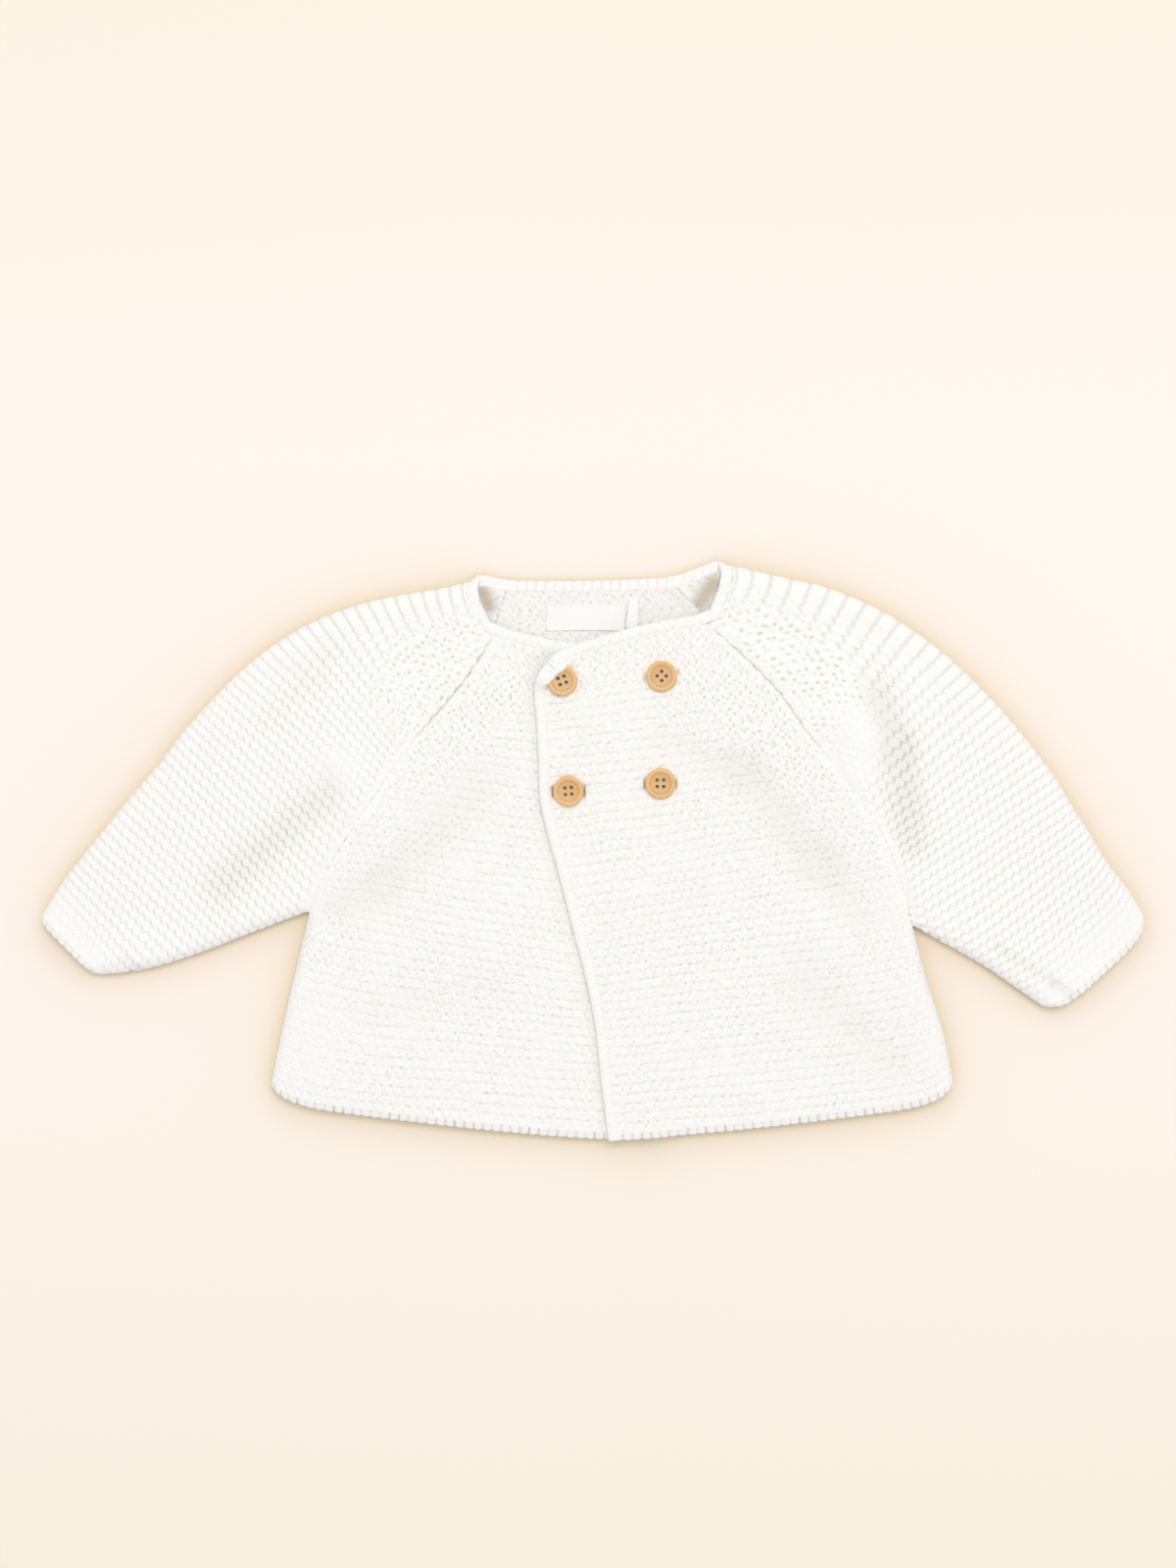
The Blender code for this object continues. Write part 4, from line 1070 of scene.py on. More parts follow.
def knitMaterial(name, color, group):
    material, tree, shader = newMaterial(name, Sheen_Weight=yarn["sheen"],
                                         Sheen_Roughness=yarn["sheenRoughness"],
                                         Specular_IOR_Level=yarn["gloss"])
    uvMap = addNode(tree, "ShaderNodeUVMap", {"uv_map": "stitches"})
    marks = addNode(tree, "ShaderNodeAttribute", {"attribute_name": "marks"})
    hollowShade = addNode(tree, "ShaderNodeAttribute", {"attribute_name": "hollowShade"})
    # the yarn's colour carries the group's painted shade
    look = addNode(tree, "ShaderNodeGroup", {"node_tree": group}, Yarn=color, Line_Color=yarn["line"],
                   Hollow_Color=yarn["hollowShade"], Line_Share=yarn["lineShadeShare"],
                   Seed_Share=yarn["seedShadeShare"], Dull_Share=yarn["lumpShadeShare"])
    for output, socket in ((uvMap.outputs["UV"], "Stitches"), (marks.outputs["Color"], "Marks"),
                           (marks.outputs["Alpha"], "Grain"), (hollowShade.outputs["Fac"], "Hollow")):
        tree.links.new(output, look.inputs[socket])
    tree.links.new(look.outputs["Color"], shader.inputs["Base Color"])
    tree.links.new(look.outputs["Roughness"], shader.inputs["Roughness"])
    addBump(tree, shader, look.outputs["Height"], yarn["bump"], yarn["bumpDepth"])
    return material


# sizes of the label and the tab, and their fine woven tape
tapes = {
    "label": (36.0, 12.0),
    "labelMiddle": (-2.5, 106.0),
    "labelLift": 0.12,
    "labelSag": 0.35,
    "labelWave": 0.12,
    "labelHems": ((0.88, 0.11), (0.965, 0.09)),     # along and across: where they begin, how thick
    "labelThickness": 0.24,
    "tab": (6.0, 14.0),
    "tabMiddle": (19.0, 107.5),
    "tabThickness": 0.55,
    "tabFold": 1.1,
    "tabLift": 0.1,
    "tabLean": 0.06,
    "tabPuff": 0.5,
    "tabWidths": (0.72, 0.36),  # share of its width at the seam, and how much more at the fold
    "tabFlare": (2.6, 0.35),
    "tabBow": (0.35, 0.7),
    "warp": 620.0,              # threads for each metre, as the wave texture counts them
    "weft": 760.0,
    "threadLow": (0.95, 0.955, 0.96, 1.0),
    "threadHigh": (0.99, 0.99, 1.0, 1.0),
    "patch": (0.88, 0.87, 0.85, 1.0),
    "patchShare": 0.08,
}


def tapeMaterial():
    # bare tape: thin warp and weft lines and faint patches
    material, tree, shader = newMaterial("wovenTape", Roughness=0.62, Sheen_Weight=0.1)
    place = tree.nodes.new("ShaderNodeTexCoord")
    warp = addNode(tree, "ShaderNodeTexWave", {"bands_direction": "X"}, Scale=tapes["warp"], Distortion=0.4)
    weft = addNode(tree, "ShaderNodeTexWave", {"bands_direction": "Y"}, Scale=tapes["weft"], Distortion=0.4)
    patch = addNode(tree, "ShaderNodeTexNoise", Scale=260.0, Detail=3.0)
    for texture in (warp, weft, patch):
        tree.links.new(place.outputs["Object"], texture.inputs["Vector"])
    weave = mathNode(tree, "MULTIPLY", warp.outputs["Fac"], weft.outputs["Fac"])
    tint = mixColor(tree, weave, tapes["threadLow"], tapes["threadHigh"])
    patchShare = mathNode(tree, "MULTIPLY", patch.outputs["Fac"], tapes["patchShare"])
    tree.links.new(mixColor(tree, patchShare, tint, tapes["patch"]), shader.inputs["Base Color"])
    addBump(tree, shader, weave, 0.4, 0.0002)
    return material


wood = {
    "light": (0.87, 0.565, 0.27, 1.0),
    "dark": (0.73, 0.42, 0.165, 1.0),
    "pore": (0.62, 0.34, 0.13, 1.0),
    "recessShade": (0.30, 0.14, 0.05, 1.0),
    "grain": (60.0, 420.0, 420.0),
    "grainTurn": 0.5,
    "poreFrom": 0.56,
    "poreGain": 2.2,
}


def woodMaterial():
    # honey-coloured turned wood: long grain, fine pores, and painted shade in the holes and the dish
    material, tree, shader = newMaterial("turnedWood", Coat_Weight=0.2, Coat_Roughness=0.3)
    place = tree.nodes.new("ShaderNodeTexCoord")
    stretch = addNode(tree, "ShaderNodeMapping", Scale=wood["grain"],
                      Rotation=(0.0, 0.0, wood["grainTurn"]))
    tree.links.new(place.outputs["Object"], stretch.inputs["Vector"])
    grain = addNode(tree, "ShaderNodeTexNoise", Scale=1.0, Detail=4.0, Distortion=0.6)
    pores = addNode(tree, "ShaderNodeTexNoise", Scale=5.0, Detail=2.0)
    for texture in (grain, pores):
        tree.links.new(stretch.outputs["Vector"], texture.inputs["Vector"])
    tint = mixColor(tree, grain.outputs["Fac"], wood["light"], wood["dark"])
    poreShare = mathNode(tree, "SUBTRACT", pores.outputs["Fac"], wood["poreFrom"], clamp=True)
    poreShare = mathNode(tree, "MULTIPLY", poreShare, wood["poreGain"], clamp=True)
    tint = mixColor(tree, poreShare, tint, wood["pore"])
    recessShade = addNode(tree, "ShaderNodeAttribute", {"attribute_name": "hollowShade"})
    tint = mixColor(tree, recessShade.outputs["Fac"], tint, wood["recessShade"])
    tree.links.new(tint, shader.inputs["Base Color"])
    addBump(tree, shader, grain.outputs["Fac"], 0.15, 0.0002)
    rough = mathNode(tree, "ADD", mathNode(tree, "MULTIPLY", pores.outputs["Fac"], 0.2), 0.35)
    tree.links.new(rough, shader.inputs["Roughness"])
    return material


def insideRidge(grid, seam):
    # the seam allowance of a raglan seam makes a soft ridge inside, near the neck
    near = smoothStep((grid[:, :, 1] - raglan["insideFrom"]) / raglan["insideEase"])
    return raglan["insideRise"] * near * bell(seamDistance(grid, seam), raglan["insideWidth"])


def plumpBeside(away, share=1.0):
    # the cloth stands a little higher beside a fold or a seam
    return cloth["plumpRise"] * share * bell(away, cloth["plumpReach"])


def flatHeight(x, y, fromStart, fromEnd):
    return np.zeros_like(x)


def hemAndNeck(start, end, sags, shorter=0.0):
    # bends straight rows: the lowest ones follow the hem, the highest ones sag at the neck
    hemShare = np.clip(1.0 - np.arange(len(sags)) / net["body"], 0.0, 1.0)

    def bend(share, plan):
        hemX = start[0] + (end[0] - start[0]) * share
        chordY = start[1] + (end[1] - start[1]) * share
        inside = 1.0 - np.abs(2.0 * share - 1.0) ** 8
        drop = hemShare[:, None] * (hemLine(hemX) + shorter * inside - chordY)
        drop = drop - sags[:, None] * 4.0 * share * (1.0 - share)
        return np.dstack([np.zeros_like(drop), drop])

    return bend


frontPanels = {
    # calmer patches: x, y, reach and how much of the stitches is left
    "rightSpots": ((-120.0, -80.0, 14.0, 0.35), (-104.0, 30.0, 11.0, 0.25), (-128.0, -100.0, 13.0, 0.35)),
    "leftSpots": ((158.0, -70.0, 12.0, 0.35), (160.0, -95.0, 14.0, 0.35), (140.0, -30.0, 12.0, 0.4),
                  (-17.0, 80.0, 5.0, 0.3)),
    "holesReach": 22.0,         # the yoke's holes reach this far from the raglan seam
    "holesLeast": 0.25,         # fewer low in the yoke, more from this share of its rows on
    "holesFrom": 0.25,
    "holesRise": 0.3,
    "neckHoles": (15.0, 6.0, 12.0),     # reach below the neck, and its wander: most, size
    "neckEase": 8.0,
    "sideCalm": (0.6, 8.0),     # calmer beside the side seam: share, reach
    "overShade": (0.14, 4.0),   # darker beside the other front's edge: share, reach
    "insideStep": 17,
}


def makeFront(name, node, curves, height, neckSag, spots, seed, material, corner=0.0, over=None):
    edge = joined(curves["sideEdge"], curves["yokeEdge"])
    seam = joined(curves["side"], curves["yokeSeam"])
    roll = outerRoll(curves, seam, edge, height)
    rows = len(seam)

    def lofted(x, y, fromStart, fromEnd):
        return height(x, y) + plumpBeside(fromEnd, (1.0 - roll["risen"])[:, None])

    bend = hemAndNeck(edge[0], seam[0], neckShare(rows) * neckSag)
    grid = rolledRows(edge, movedIn(seam, edge), lofted, None, roll, net["front"], bend)
    if corner:
        grid = roundCorner(grid, corner)
    normal = gridNormals(grid, True)
    u, v = stitchCoordinates(grid, stitches["ridge"], 0)
    depth, wander, size = frontPanels["neckHoles"]
    reach = depth + wander * softNoise(grid[:, :, 0], grid[:, :, 1], size, seed + 20)
    neckward = fade(((v[-1:] - v) * stitches["ridge"] - reach) / frontPanels["neckEase"])
    yokeShare = np.clip((np.arange(rows) - net["body"]) / net["yoke"], 0.0, 1.0)[:, None]
    more = smoothStep((yokeShare - frontPanels["holesFrom"]) / frontPanels["holesRise"])
    upper = frontPanels["holesLeast"] + (1.0 - frontPanels["holesLeast"]) * more
    relief, marks, uv = knitRelief(grid, u, v, "body", seed, curves["yokeSeam"], frontPanels["holesReach"],
                                   upper, neckward, spots, lines=creases)
    share, reach = frontPanels["sideCalm"]
    calm = 1.0 - share * bell(seamDistance(grid, curves["side"]), reach)
    relief, marks[:, :, 0] = relief * calm, marks[:, :, 0] * calm
    if corner:
        relief, marks = besideButtons(grid, relief, marks)
    if over is not None:
        share, reach = frontPanels["overShade"]
        beside = np.maximum(seamDistance(grid, over) - edging["width"], 0.0)
        marks[:, :, 4] += share * bell(beside, reach)
    insideRows = spaced(0, rows - 1, frontPanels["insideStep"])
    insideColumns = spaced(0, net["front"], net["front"] // net["frontPlain"])
    insideColumns += list(range(net["front"] + 3, net["front"] + net["curl"] + 1, 3))
    piece = knitShell(name, node, grid, normal, relief, marks, uv, insideRows, insideColumns,
                      material)
    return asPanel(piece, grid, normal)


sleeves = {
    "ridge": 4.15,
    "neckBow": 3.5,
    "rightSpots": ((-116.0, 36.0, 12.0, 0.25), (-251.0, -37.0, 15.0, 0.0), (-236.0, -53.0, 15.0, 0.0)),
    "leftSpots": ((124.0, 48.0, 12.0, 0.05), (119.0, 60.0, 9.0, 0.3), (122.0, 34.0, 9.0, 0.3),
                  (250.0, -38.0, 15.0, 0.0), (232.0, -56.0, 15.0, 0.0), (215.0, -69.0, 12.0, 0.2)),
    "countedColumns": (90, 10), # the ridges are counted on these columns before the fold
    "foldZone": 24.0,           # the stitches are steady beside the fold
    "holesReach": 28.0,
    "holesFrom": 0.34,          # share of the yoke's rows
    "holesRise": 0.22,
    "ticks": 0.5,
    "loops": ((147.0, -30.0, 172.0, -43.0, 0.55, 5.0),),    # loose loops at the left armpit
    "loopBeats": (0.7, 0.8),
    "creaseShade": 1.5,         # painted shade in its creases is stronger by this factor, and the painted shade lines in them by this share
    "creaseLines": 0.6,
    "insideHoles": 60.0,
    "insideReach": 34.0,        # the sleeve's inside is finely knit this far from the neck
    # dents inside, under each shoulder, with painted shade: x0, y0, x1, y1, strength, reach
    "hollows": ((-50.0, 117.5, -47.5, 111.5, 0.62, 3.9), (56.0, 121.5, 49.0, 111.5, 0.6, 4.5)),
    "hollowDepth": 1.2,
    "insideSteps": (8, 4),      # rows and columns of the plain inside
}


def makeSleeve(name, node, curves, height, spots, seed, material):
    under = joined(curves["under"], curves["yokeSeam"])
    behind = joined(curves["under"], curves["yokeBack"])
    top = joined(curves["sleeveTop"], curves["yokeTop"])
    rows = len(top)
    frontRoll = outerRoll(curves, under, top, height)
    foldDrop = height(top[:, 0], top[:, 1]) + cloth["plumpRise"] - cloth["foldHeight"]
    square = np.full(rows, math.pi / 2)
    halfway = np.full(rows, cloth["foldHeight"])
    foldRoll = {"angle": square, "height": halfway, "run": rollWidth(foldDrop) / skew(top, under - top)}
    turn = {"angle": square, "height": halfway, "run": cloth["foldHeight"] / skew(top, behind - top)}
    backAngle = np.concatenate([square[:net["sleeve"]], curves["backAngle"]])
    bows = np.concatenate([curves["bow"][:-1], np.zeros(len(curves["yokeTop"]))])
    neckBows = neckShare(rows) * sleeves["neckBow"]
    away = unit(np.gradient(top, axis=0) + np.gradient(under, axis=0))

    def bend(share, plan, bows=bows):
        size = -bows[:, None] * (1.0 - (2.0 * share - 1.0) ** 4)
        return away[:, None, :] * size[:, :, None]

    def frontBend(share, plan):
        return bend(share, plan, bows + neckBows)

    def lofted(x, y, fromUnder, fromFold):
        plump = plumpBeside(fromFold) + plumpBeside(fromUnder, (1.0 - frontRoll["risen"])[:, None])
        return height(x, y) + plump

    front = rolledRows(movedIn(under, top), top, lofted, frontRoll, foldRoll, net["sleeveFront"], frontBend)
    back = rolledRows(top, movedIn(behind, top), flatHeight, turn, backRollAt(backAngle, behind, top),
                      net["sleeveBack"], bend)
    grid = np.concatenate([front, back[:, 1:]], axis=1)
    x, y = grid[:, :, 0], grid[:, :, 1]
    normal = gridNormals(grid, True)
    fold = 2 * net["curl"] + net["sleeveFront"]
    before, after = sleeves["countedColumns"]
    u, v = stitchCoordinates(grid, sleeves["ridge"], fold, slice(fold - before, fold - after))
    # steady stitches beside the fold, less so below the yoke
    zone = sleeves["foldZone"]
    steady = fade((np.abs(u) * stitches["width"] - zone * 0.35) / (zone * 0.8))
    yokeShare = np.clip((np.arange(rows) - net["sleeve"]) / net["yoke"], 0.0, 1.0)[:, None]
    steady = steady * (0.4 + 0.6 * smoothStep((yokeShare - 0.1) / 0.4))
    upper = smoothStep((yokeShare - sleeves["holesFrom"]) / sleeves["holesRise"])
    relief, marks, uv = knitRelief(grid, u, v, "sleeve", seed, curves["yokeSeam"], sleeves["holesReach"],
                                   upper, 0.0, spots, steady, sleeves["ticks"], side=-1.0)
    isFront = np.arange(grid.shape[1])[None, :] < fold
    bends = creaseBend(grid, creases, seamDistance(grid, curves["yokeSeam"])) * isFront
    loops = softLines(x, y, sleeves["loops"]) * isFront
    beatU, beatV = sleeves["loopBeats"]
    looped = loops * np.cos(2 * np.pi * beatV * v) * np.cos(2 * np.pi * beatU * u)
    relief = relief * (1.0 - 0.8 * loops) + looped
    relief = relief + bends + softLines(x, y, underCreases) * ~isFront
    depth = np.maximum(-bends, 0.0)
    marks[:, :, 4] += sleeves["creaseShade"] * stitches["creaseShade"] * depth
    marks[:, :, 0] *= 1.0 + sleeves["creaseLines"] * depth
    relief = pressedFlat(grid, relief)
    # the inside shows at the neck, with a dent and painted shade under each shoulder
    insideRelief, insideMarks = knitRelief(grid, u + 0.5, v + 0.5, "back", seed + 70, curves["yokeBack"],
                                           sleeves["insideHoles"], ticks=0.0)[:2]
    ease = sleeves["insideReach"] / 2
    nearNeck = fade((runLength(top)[-1] - runLength(top) - ease) / ease)[:, None]
    insideRelief = insideRelief * nearNeck + insideRidge(grid, curves["yokeBack"])
    dark = softLines(x, y, sleeves["hollows"])
    insideRelief = insideRelief - sleeves["hollowDepth"] * dark
    # painted shade in the dents under the shoulders
    dark = np.clip(dark, 0.0, 1.0)
    insideMarks[:, :, :2] *= (1.0 - dark)[:, :, None]
    insideMarks[:, :, 4] = dark
    rowStep, columnStep = sleeves["insideSteps"]
    curl, curlStep = net["curl"], net["curl"] // net["curlPlain"]
    frontStop, backStop = curl + net["sleeveFront"], fold + curl + net["sleeveBack"]
    insideColumns = list(range(0, curl, curlStep))
    insideColumns += spaced(curl, frontStop, net["sleeveFront"] // net["sleevePlain"])
    insideColumns += list(range(frontStop + curlStep, fold + curl + 1, curlStep))
    insideColumns += spaced(fold + curl, backStop, columnStep)[1:]
    insideColumns += list(range(backStop + curlStep, grid.shape[1], curlStep))
    insideRows = [r for r in range(rows) if r % rowStep == 0 or nearNeck[r, 0] > 0.0 or r == rows - 1]
    piece = knitShell(name, node, grid, normal, relief, marks, uv, insideRows, insideColumns,
                      material, insideRelief, insideMarks, floor=0.0)
    return asPanel(piece, grid, normal)


backPanel = {
    "neckSag": 1.0,
    "sagShare": 0.25,           # share of the yoke's rows that sag
    "insideFrom": 62.0,         # the inside is finely knit from here up to the neck
    "insideHalfWidth": 62.0,
    "insideReach": 90.0,
    "insideSteps": (9, 6),      # rows and columns of its plain part
    "holes": 0.7,
    "spread": 0.5,              # the seams are closed where they show
    "spreadFrom": 82.0,
    "spreadEase": 10.0,
}


def makeBack(name, node, left, right, material):
    west = joined(right["side"], right["yokeBack"])
    east = joined(left["side"], left["yokeBack"])
    rows = len(west)
    rolls = []
    for curves, seam, other in ((right, west, east), (left, east, west)):
        angle = np.concatenate([np.full(net["body"], math.pi / 2), curves["backAngle"]])
        rolls.append(backRollAt(angle, seam, other))
    sagRows = backPanel["sagShare"] * net["yoke"]
    sags = np.clip(1.0 + (np.arange(rows) - rows + 1) / sagRows, 0.0, 1.0) * backPanel["neckSag"]
    bend = hemAndNeck(west[0], east[0], sags, hem["backShorter"])
    full = rolledRows(movedIn(west, east), movedIn(east, west), flatHeight, rolls[0], rolls[1],
                      net["back"], bend)
    fullNormal = gridNormals(full, False)
    middle = full.shape[1] // 2
    fineFrom = backPanel["insideFrom"]
    kept = [r for r in range(rows) if r % 2 == 0 or full[r, middle, 1] > fineFrom or r == rows - 1]
    grid, normal = full[kept], fullNormal[kept]
    u, v = (part[kept] for part in stitchCoordinates(full, stitches["ridge"], middle))
    relief, marks, uv = knitRelief(grid, u, v, "back", 31, lines=underCreases)
    relief = pressedFlat(grid, relief)
    seams = np.vstack([left["yokeBack"], right["yokeBack"]])
    insideRelief, insideMarks = knitRelief(grid, u + 0.5, v + 0.5, "back", 37, seams,
                                           backPanel["insideReach"], ticks=0.0)[:2]
    insideRelief = insideRelief + insideRidge(grid, left["yokeBack"]) + insideRidge(grid, right["yokeBack"])
    insideMarks[:, :, 1] *= backPanel["holes"]
    high = [k for k in range(len(kept)) if grid[k, middle, 1] > fineFrom]
    rowStep, columnStep = backPanel["insideSteps"]
    insideRows = list(range(0, high[0], rowStep)) + high
    last = grid.shape[1] - 1
    insideColumns = [c for c in range(last + 1) if c % columnStep == 0 or c == last
                     or abs(grid[high[0], c, 0]) < backPanel["insideHalfWidth"]]
    shown = smoothStep((grid[:, 0, 1] - backPanel["spreadFrom"]) / backPanel["spreadEase"])
    piece = knitShell(name, node, grid, normal, relief, marks, uv, insideRows, insideColumns,
                      material, insideRelief, insideMarks, floor=0.0,
                      spread=backPanel["spread"] * shown)
    return asPanel(piece, full, fullNormal, grid)


edging = {
    "width": 4.5,
    "tuck": -0.7,               # its inner side lies over the cloth's edge
    "crown": 0.75,              # the rolled band stands this much above the cloth
    "lowest": 0.05,
    "leftExtra": 0.3,           # the left front's band is thicker by this
    "neckWall": 2.2,
    "neckCrown": 0.3,
    "neckHoles": 0.3,
    "neckInset": 0.2,           # its ends stay this much inside the front edges
    "corner": 11.0,             # the upper corner of the left front is rounded
    "cornerSteps": 20,
    "shoulderEase": 0.4,
    "shoulderCrown": 0.1,
    "sides": 18,
    "fullness": 0.72,
    "fullnessBelow": 0.3,
    "tick": 0.012,
    "backTick": 0.15,
    "tickWidth": 0.16,
    "tickLean": 0.10,
    "tickShade": 0.9,
    "uneven": (0.025, 7.0),     # how much thicker and thinner, over what length
    "step": 0.55,
    "capWidth": 0.55,           # share of the strip's width at its rounded ends
    "capLength": 0.55,
}


def outwardFrom(edge, inside, normal):
    outward = unit(np.cross(normal, np.gradient(edge, axis=0, edge_order=2)))
    wrong = np.sum(outward * (edge - inside), axis=1) < 0
    outward[wrong] *= -1.0
    return outward


def edgingStrip(name, node, stations, wall, crown, tick, holes, onLip, material):
    # stations: point, outward and normal for each; the next four may vary along the strip
    point, outward, normal = stations
    count = len(point)
    wall, crown, tick, onLip = (np.zeros((count, 1)) + np.reshape(value, (-1, 1))
                                for value in (wall, crown, tick, onLip))
    run = runLength(point + outward * edging["width"] / 2)[:, None]
    low = edging["tuck"]
    reach = (cloth["seamGap"] + edging["width"] - low) / 2
    sides = edging["sides"]
    theta = 2 * np.pi * np.arange(sides) / sides
    power = np.where(np.sin(theta) < 0.0, edging["fullnessBelow"], edging["fullness"])
    spanOut = np.sign(np.cos(theta)) * np.abs(np.cos(theta)) ** power
    spanUp = np.sign(np.sin(theta)) * np.abs(np.sin(theta)) ** power
    turns = run / stitches["width"] + edging["tickLean"] * np.sin(theta)[None, :]
    beat = bell(turns - np.floor(turns) - 0.5, edging["tickWidth"])
    most, size = edging["uneven"]
    loose = 1.0 + most * softNoise(run + 0 * theta, 3.0 * theta[None, :] + 0 * run, size, 41)
    scale = loose - (tick / reach) * beat
    out = low + reach + spanOut[None, :] * reach * scale
    up = (crown - wall) / 2 + spanUp[None, :] * ((wall + crown) / 2) * scale
    points = point[:, None, :] + outward[:, None, :] * out[:, :, None] + normal[:, None, :] * up[:, :, None]
    shape = lipShape(points[:, :, 0], points[:, :, 1]) * onLip
    points[:, :, 2] += lipRise(points[:, :, 2].max(axis=1)[:, None], shape)
    points[:, :, 2] = np.maximum(points[:, :, 2], edging["lowest"])
    at = np.arange(count * sides).reshape(count, sides)
    turned = np.roll(at, -1, axis=1)
    faces = np.stack([at[:-1], turned[:-1], turned[1:], at[1:]], axis=2).reshape(-1, 4).tolist()
    allPoints, caps = [points.reshape(-1, 3)], []
    for end, before in ((0, 1), (count - 1, count - 2)):
        along = unit(point[end] - point[before])
        middle = points[end].mean(axis=0)
        ring = middle + (points[end] - middle) * edging["capWidth"] + along * edging["capLength"]
        ringAt = count * sides + len(caps) * sides + np.arange(sides)
        faces += np.stack([at[end], turned[end], np.roll(ringAt, -1), ringAt], axis=1).tolist()
        allPoints.append(ring)
        caps.append(ringAt.tolist())
    faces += caps
    around = np.repeat(theta[None, :] / (2 * np.pi) * 3.0, count, axis=0)
    uv = np.stack([turns, around], axis=2).reshape(-1, 2)
    uv = np.vstack([uv, np.zeros((2 * sides, 2))])
    marks = np.zeros((len(uv), 5))
    marks[:, 3] = 1.0
    marks[:count * sides, 1] = holes
    marks[:count * sides, 4] = np.clip((beat * tick).reshape(-1) * edging["tickShade"], 0.0, 1.0)
    return knitObject(name, node, np.vstack(allPoints), faces, uv, marks, material)


def frontEdgeStations(front):
    grid, normal = front["grid"], front["normal"]
    outward = outwardFrom(grid[:, 0], grid[:, 1], normal[:, 0])
    upward = outwardFrom(grid[-1, :3], grid[-2, :3], normal[-1, :3])[0]
    steps = edging["cornerSteps"]
    turns = np.arange(1, steps + 1) / steps * math.pi / 2
    corner = unit(outward[-1] * np.cos(turns)[:, None] + upward * np.sin(turns)[:, None])
    points, normals = (np.vstack([part[:, 0], np.repeat(part[-1:, 0], steps, axis=0)])
                       for part in (grid, normal))
    return points, np.vstack([outward, corner]), normals


def topStations(panel, columns, fold=None):
    grid, normal = panel["grid"], panel["normal"]
    upward = outwardFrom(grid[-1], grid[-2], normal[-1])
    upward[:, 2] = 0.0
    upward = unit(upward)
    near = np.array([fold is not None and abs(c - fold) <= net["curl"] for c in columns])
    ease = np.where(near, edging["shoulderEase"], 0.0)
    points = grid[-1, columns] + upward[columns] * ease[:, None]
    return points, upward[columns], normal[-1, columns], near.astype(float)


def plainColumns(stretches):
    # the solids' own columns inside the fine net: steps of each stretch and how many columns it has
    places = [0]
    for steps, plain in stretches:
        places += [places[-1] + steps // plain * k for k in range(1, plain + 1)]
    return places


def makeNeckEdging(leftFront, rightFront, leftSleeve, rightSleeve, back, material):
    curl, curlPlain = net["curl"], net["curlPlain"]
    rolled = (curl, curlPlain)
    frontColumns = list(range(0, 48, 4)) + plainColumns([(net["front"], net["frontPlain"])])[2:]
    sleeveColumns = plainColumns([rolled, (net["sleeveFront"], net["sleevePlain"]), rolled, rolled,
                                  (net["sleeveBack"], net["sleevePlain"]), rolled])[curlPlain:-curlPlain]
    fold = 2 * curl + net["sleeveFront"]
    everyOther = 2 * (curl // curlPlain)
    sleeveColumns = [c for c in sleeveColumns if abs(c - fold) > curl or (c - fold) % everyOther == 0]
    backColumns = plainColumns([rolled, (net["back"], net["backPlain"]), rolled])[curlPlain:-curlPlain]
    parts = [
        topStations(leftFront, frontColumns),
        topStations(leftSleeve, sleeveColumns, fold),
        topStations(back, backColumns[::-1]),
        topStations(rightSleeve, sleeveColumns[::-1], fold),
        topStations(rightFront, frontColumns[::-1]),
    ]
    points, outward, normal, near = (np.concatenate([part[k] for part in parts]) for k in range(4))
    owner = np.repeat(np.arange(len(parts)), [len(part[0]) for part in parts])
    onLip, onBack = (owner == 0).astype(float), (owner == 2).astype(float)
    inset = cloth["seamGap"] + edging["neckInset"]
    points[0] += unit(points[1] - points[0]) * inset
    points[-1] += unit(points[-2] - points[-1]) * inset
    place = []
    run = runLength(points)
    for k in range(len(points) - 1):
        cuts = max(1, int(math.ceil((run[k + 1] - run[k]) / edging["step"])))
        place += [k + cut / cuts for cut in range(cuts)]
    place = np.array(place + [len(points) - 1.0])
    facts = splineAt(np.hstack([points, outward, normal, np.stack([near, onBack, onLip], axis=1)]), place)
    nearFold, onBack = np.clip(facts[:, 9], 0.0, 1.0), np.clip(facts[:, 10], 0.0, 1.0)
    crown = edging["neckCrown"] * (1.0 - nearFold) + edging["shoulderCrown"] * nearFold
    tick = edging["tick"] + (edging["backTick"] - edging["tick"]) * onBack
    stations = (facts[:, :3], unit(facts[:, 3:6]), unit(facts[:, 6:9]))
    return edgingStrip("neckBand", "neck_edging", stations, edging["neckWall"], crown,
                       tick * (1.0 - nearFold), edging["neckHoles"], facts[:, 11].round(), material)


buttons = {
    "radius": 7.0,
    "thickness": 2.8,
    "rim": 1.9,
    "dish": 0.75,
    "roundings": (1.0, 0.9),    # of the lower and the upper edge
    "slope": (0.5, 1.3),        # the dish begins this far outside the rim's inner edge and is this wide
    "middleDrop": 0.06,
    "holeRadius": 0.85,
    "holePitch": 1.5,
    "sides": 72,
    "holeSides": 20,
    "underShadeReach": 3.4,           # painted shade on the cloth below, this far round the middle
    "places": {                 # x, y, turn and tilt in degrees
        "button_1": (-13.5, 76.5, 21, 3.0),
        "button_2": (-10.5, 26.0, 5, -1.5),
        "button_3": (32.0, 78.5, 45, 1.0),
        "button_4": (31.5, 29.5, 0, 0.0),
    },
}


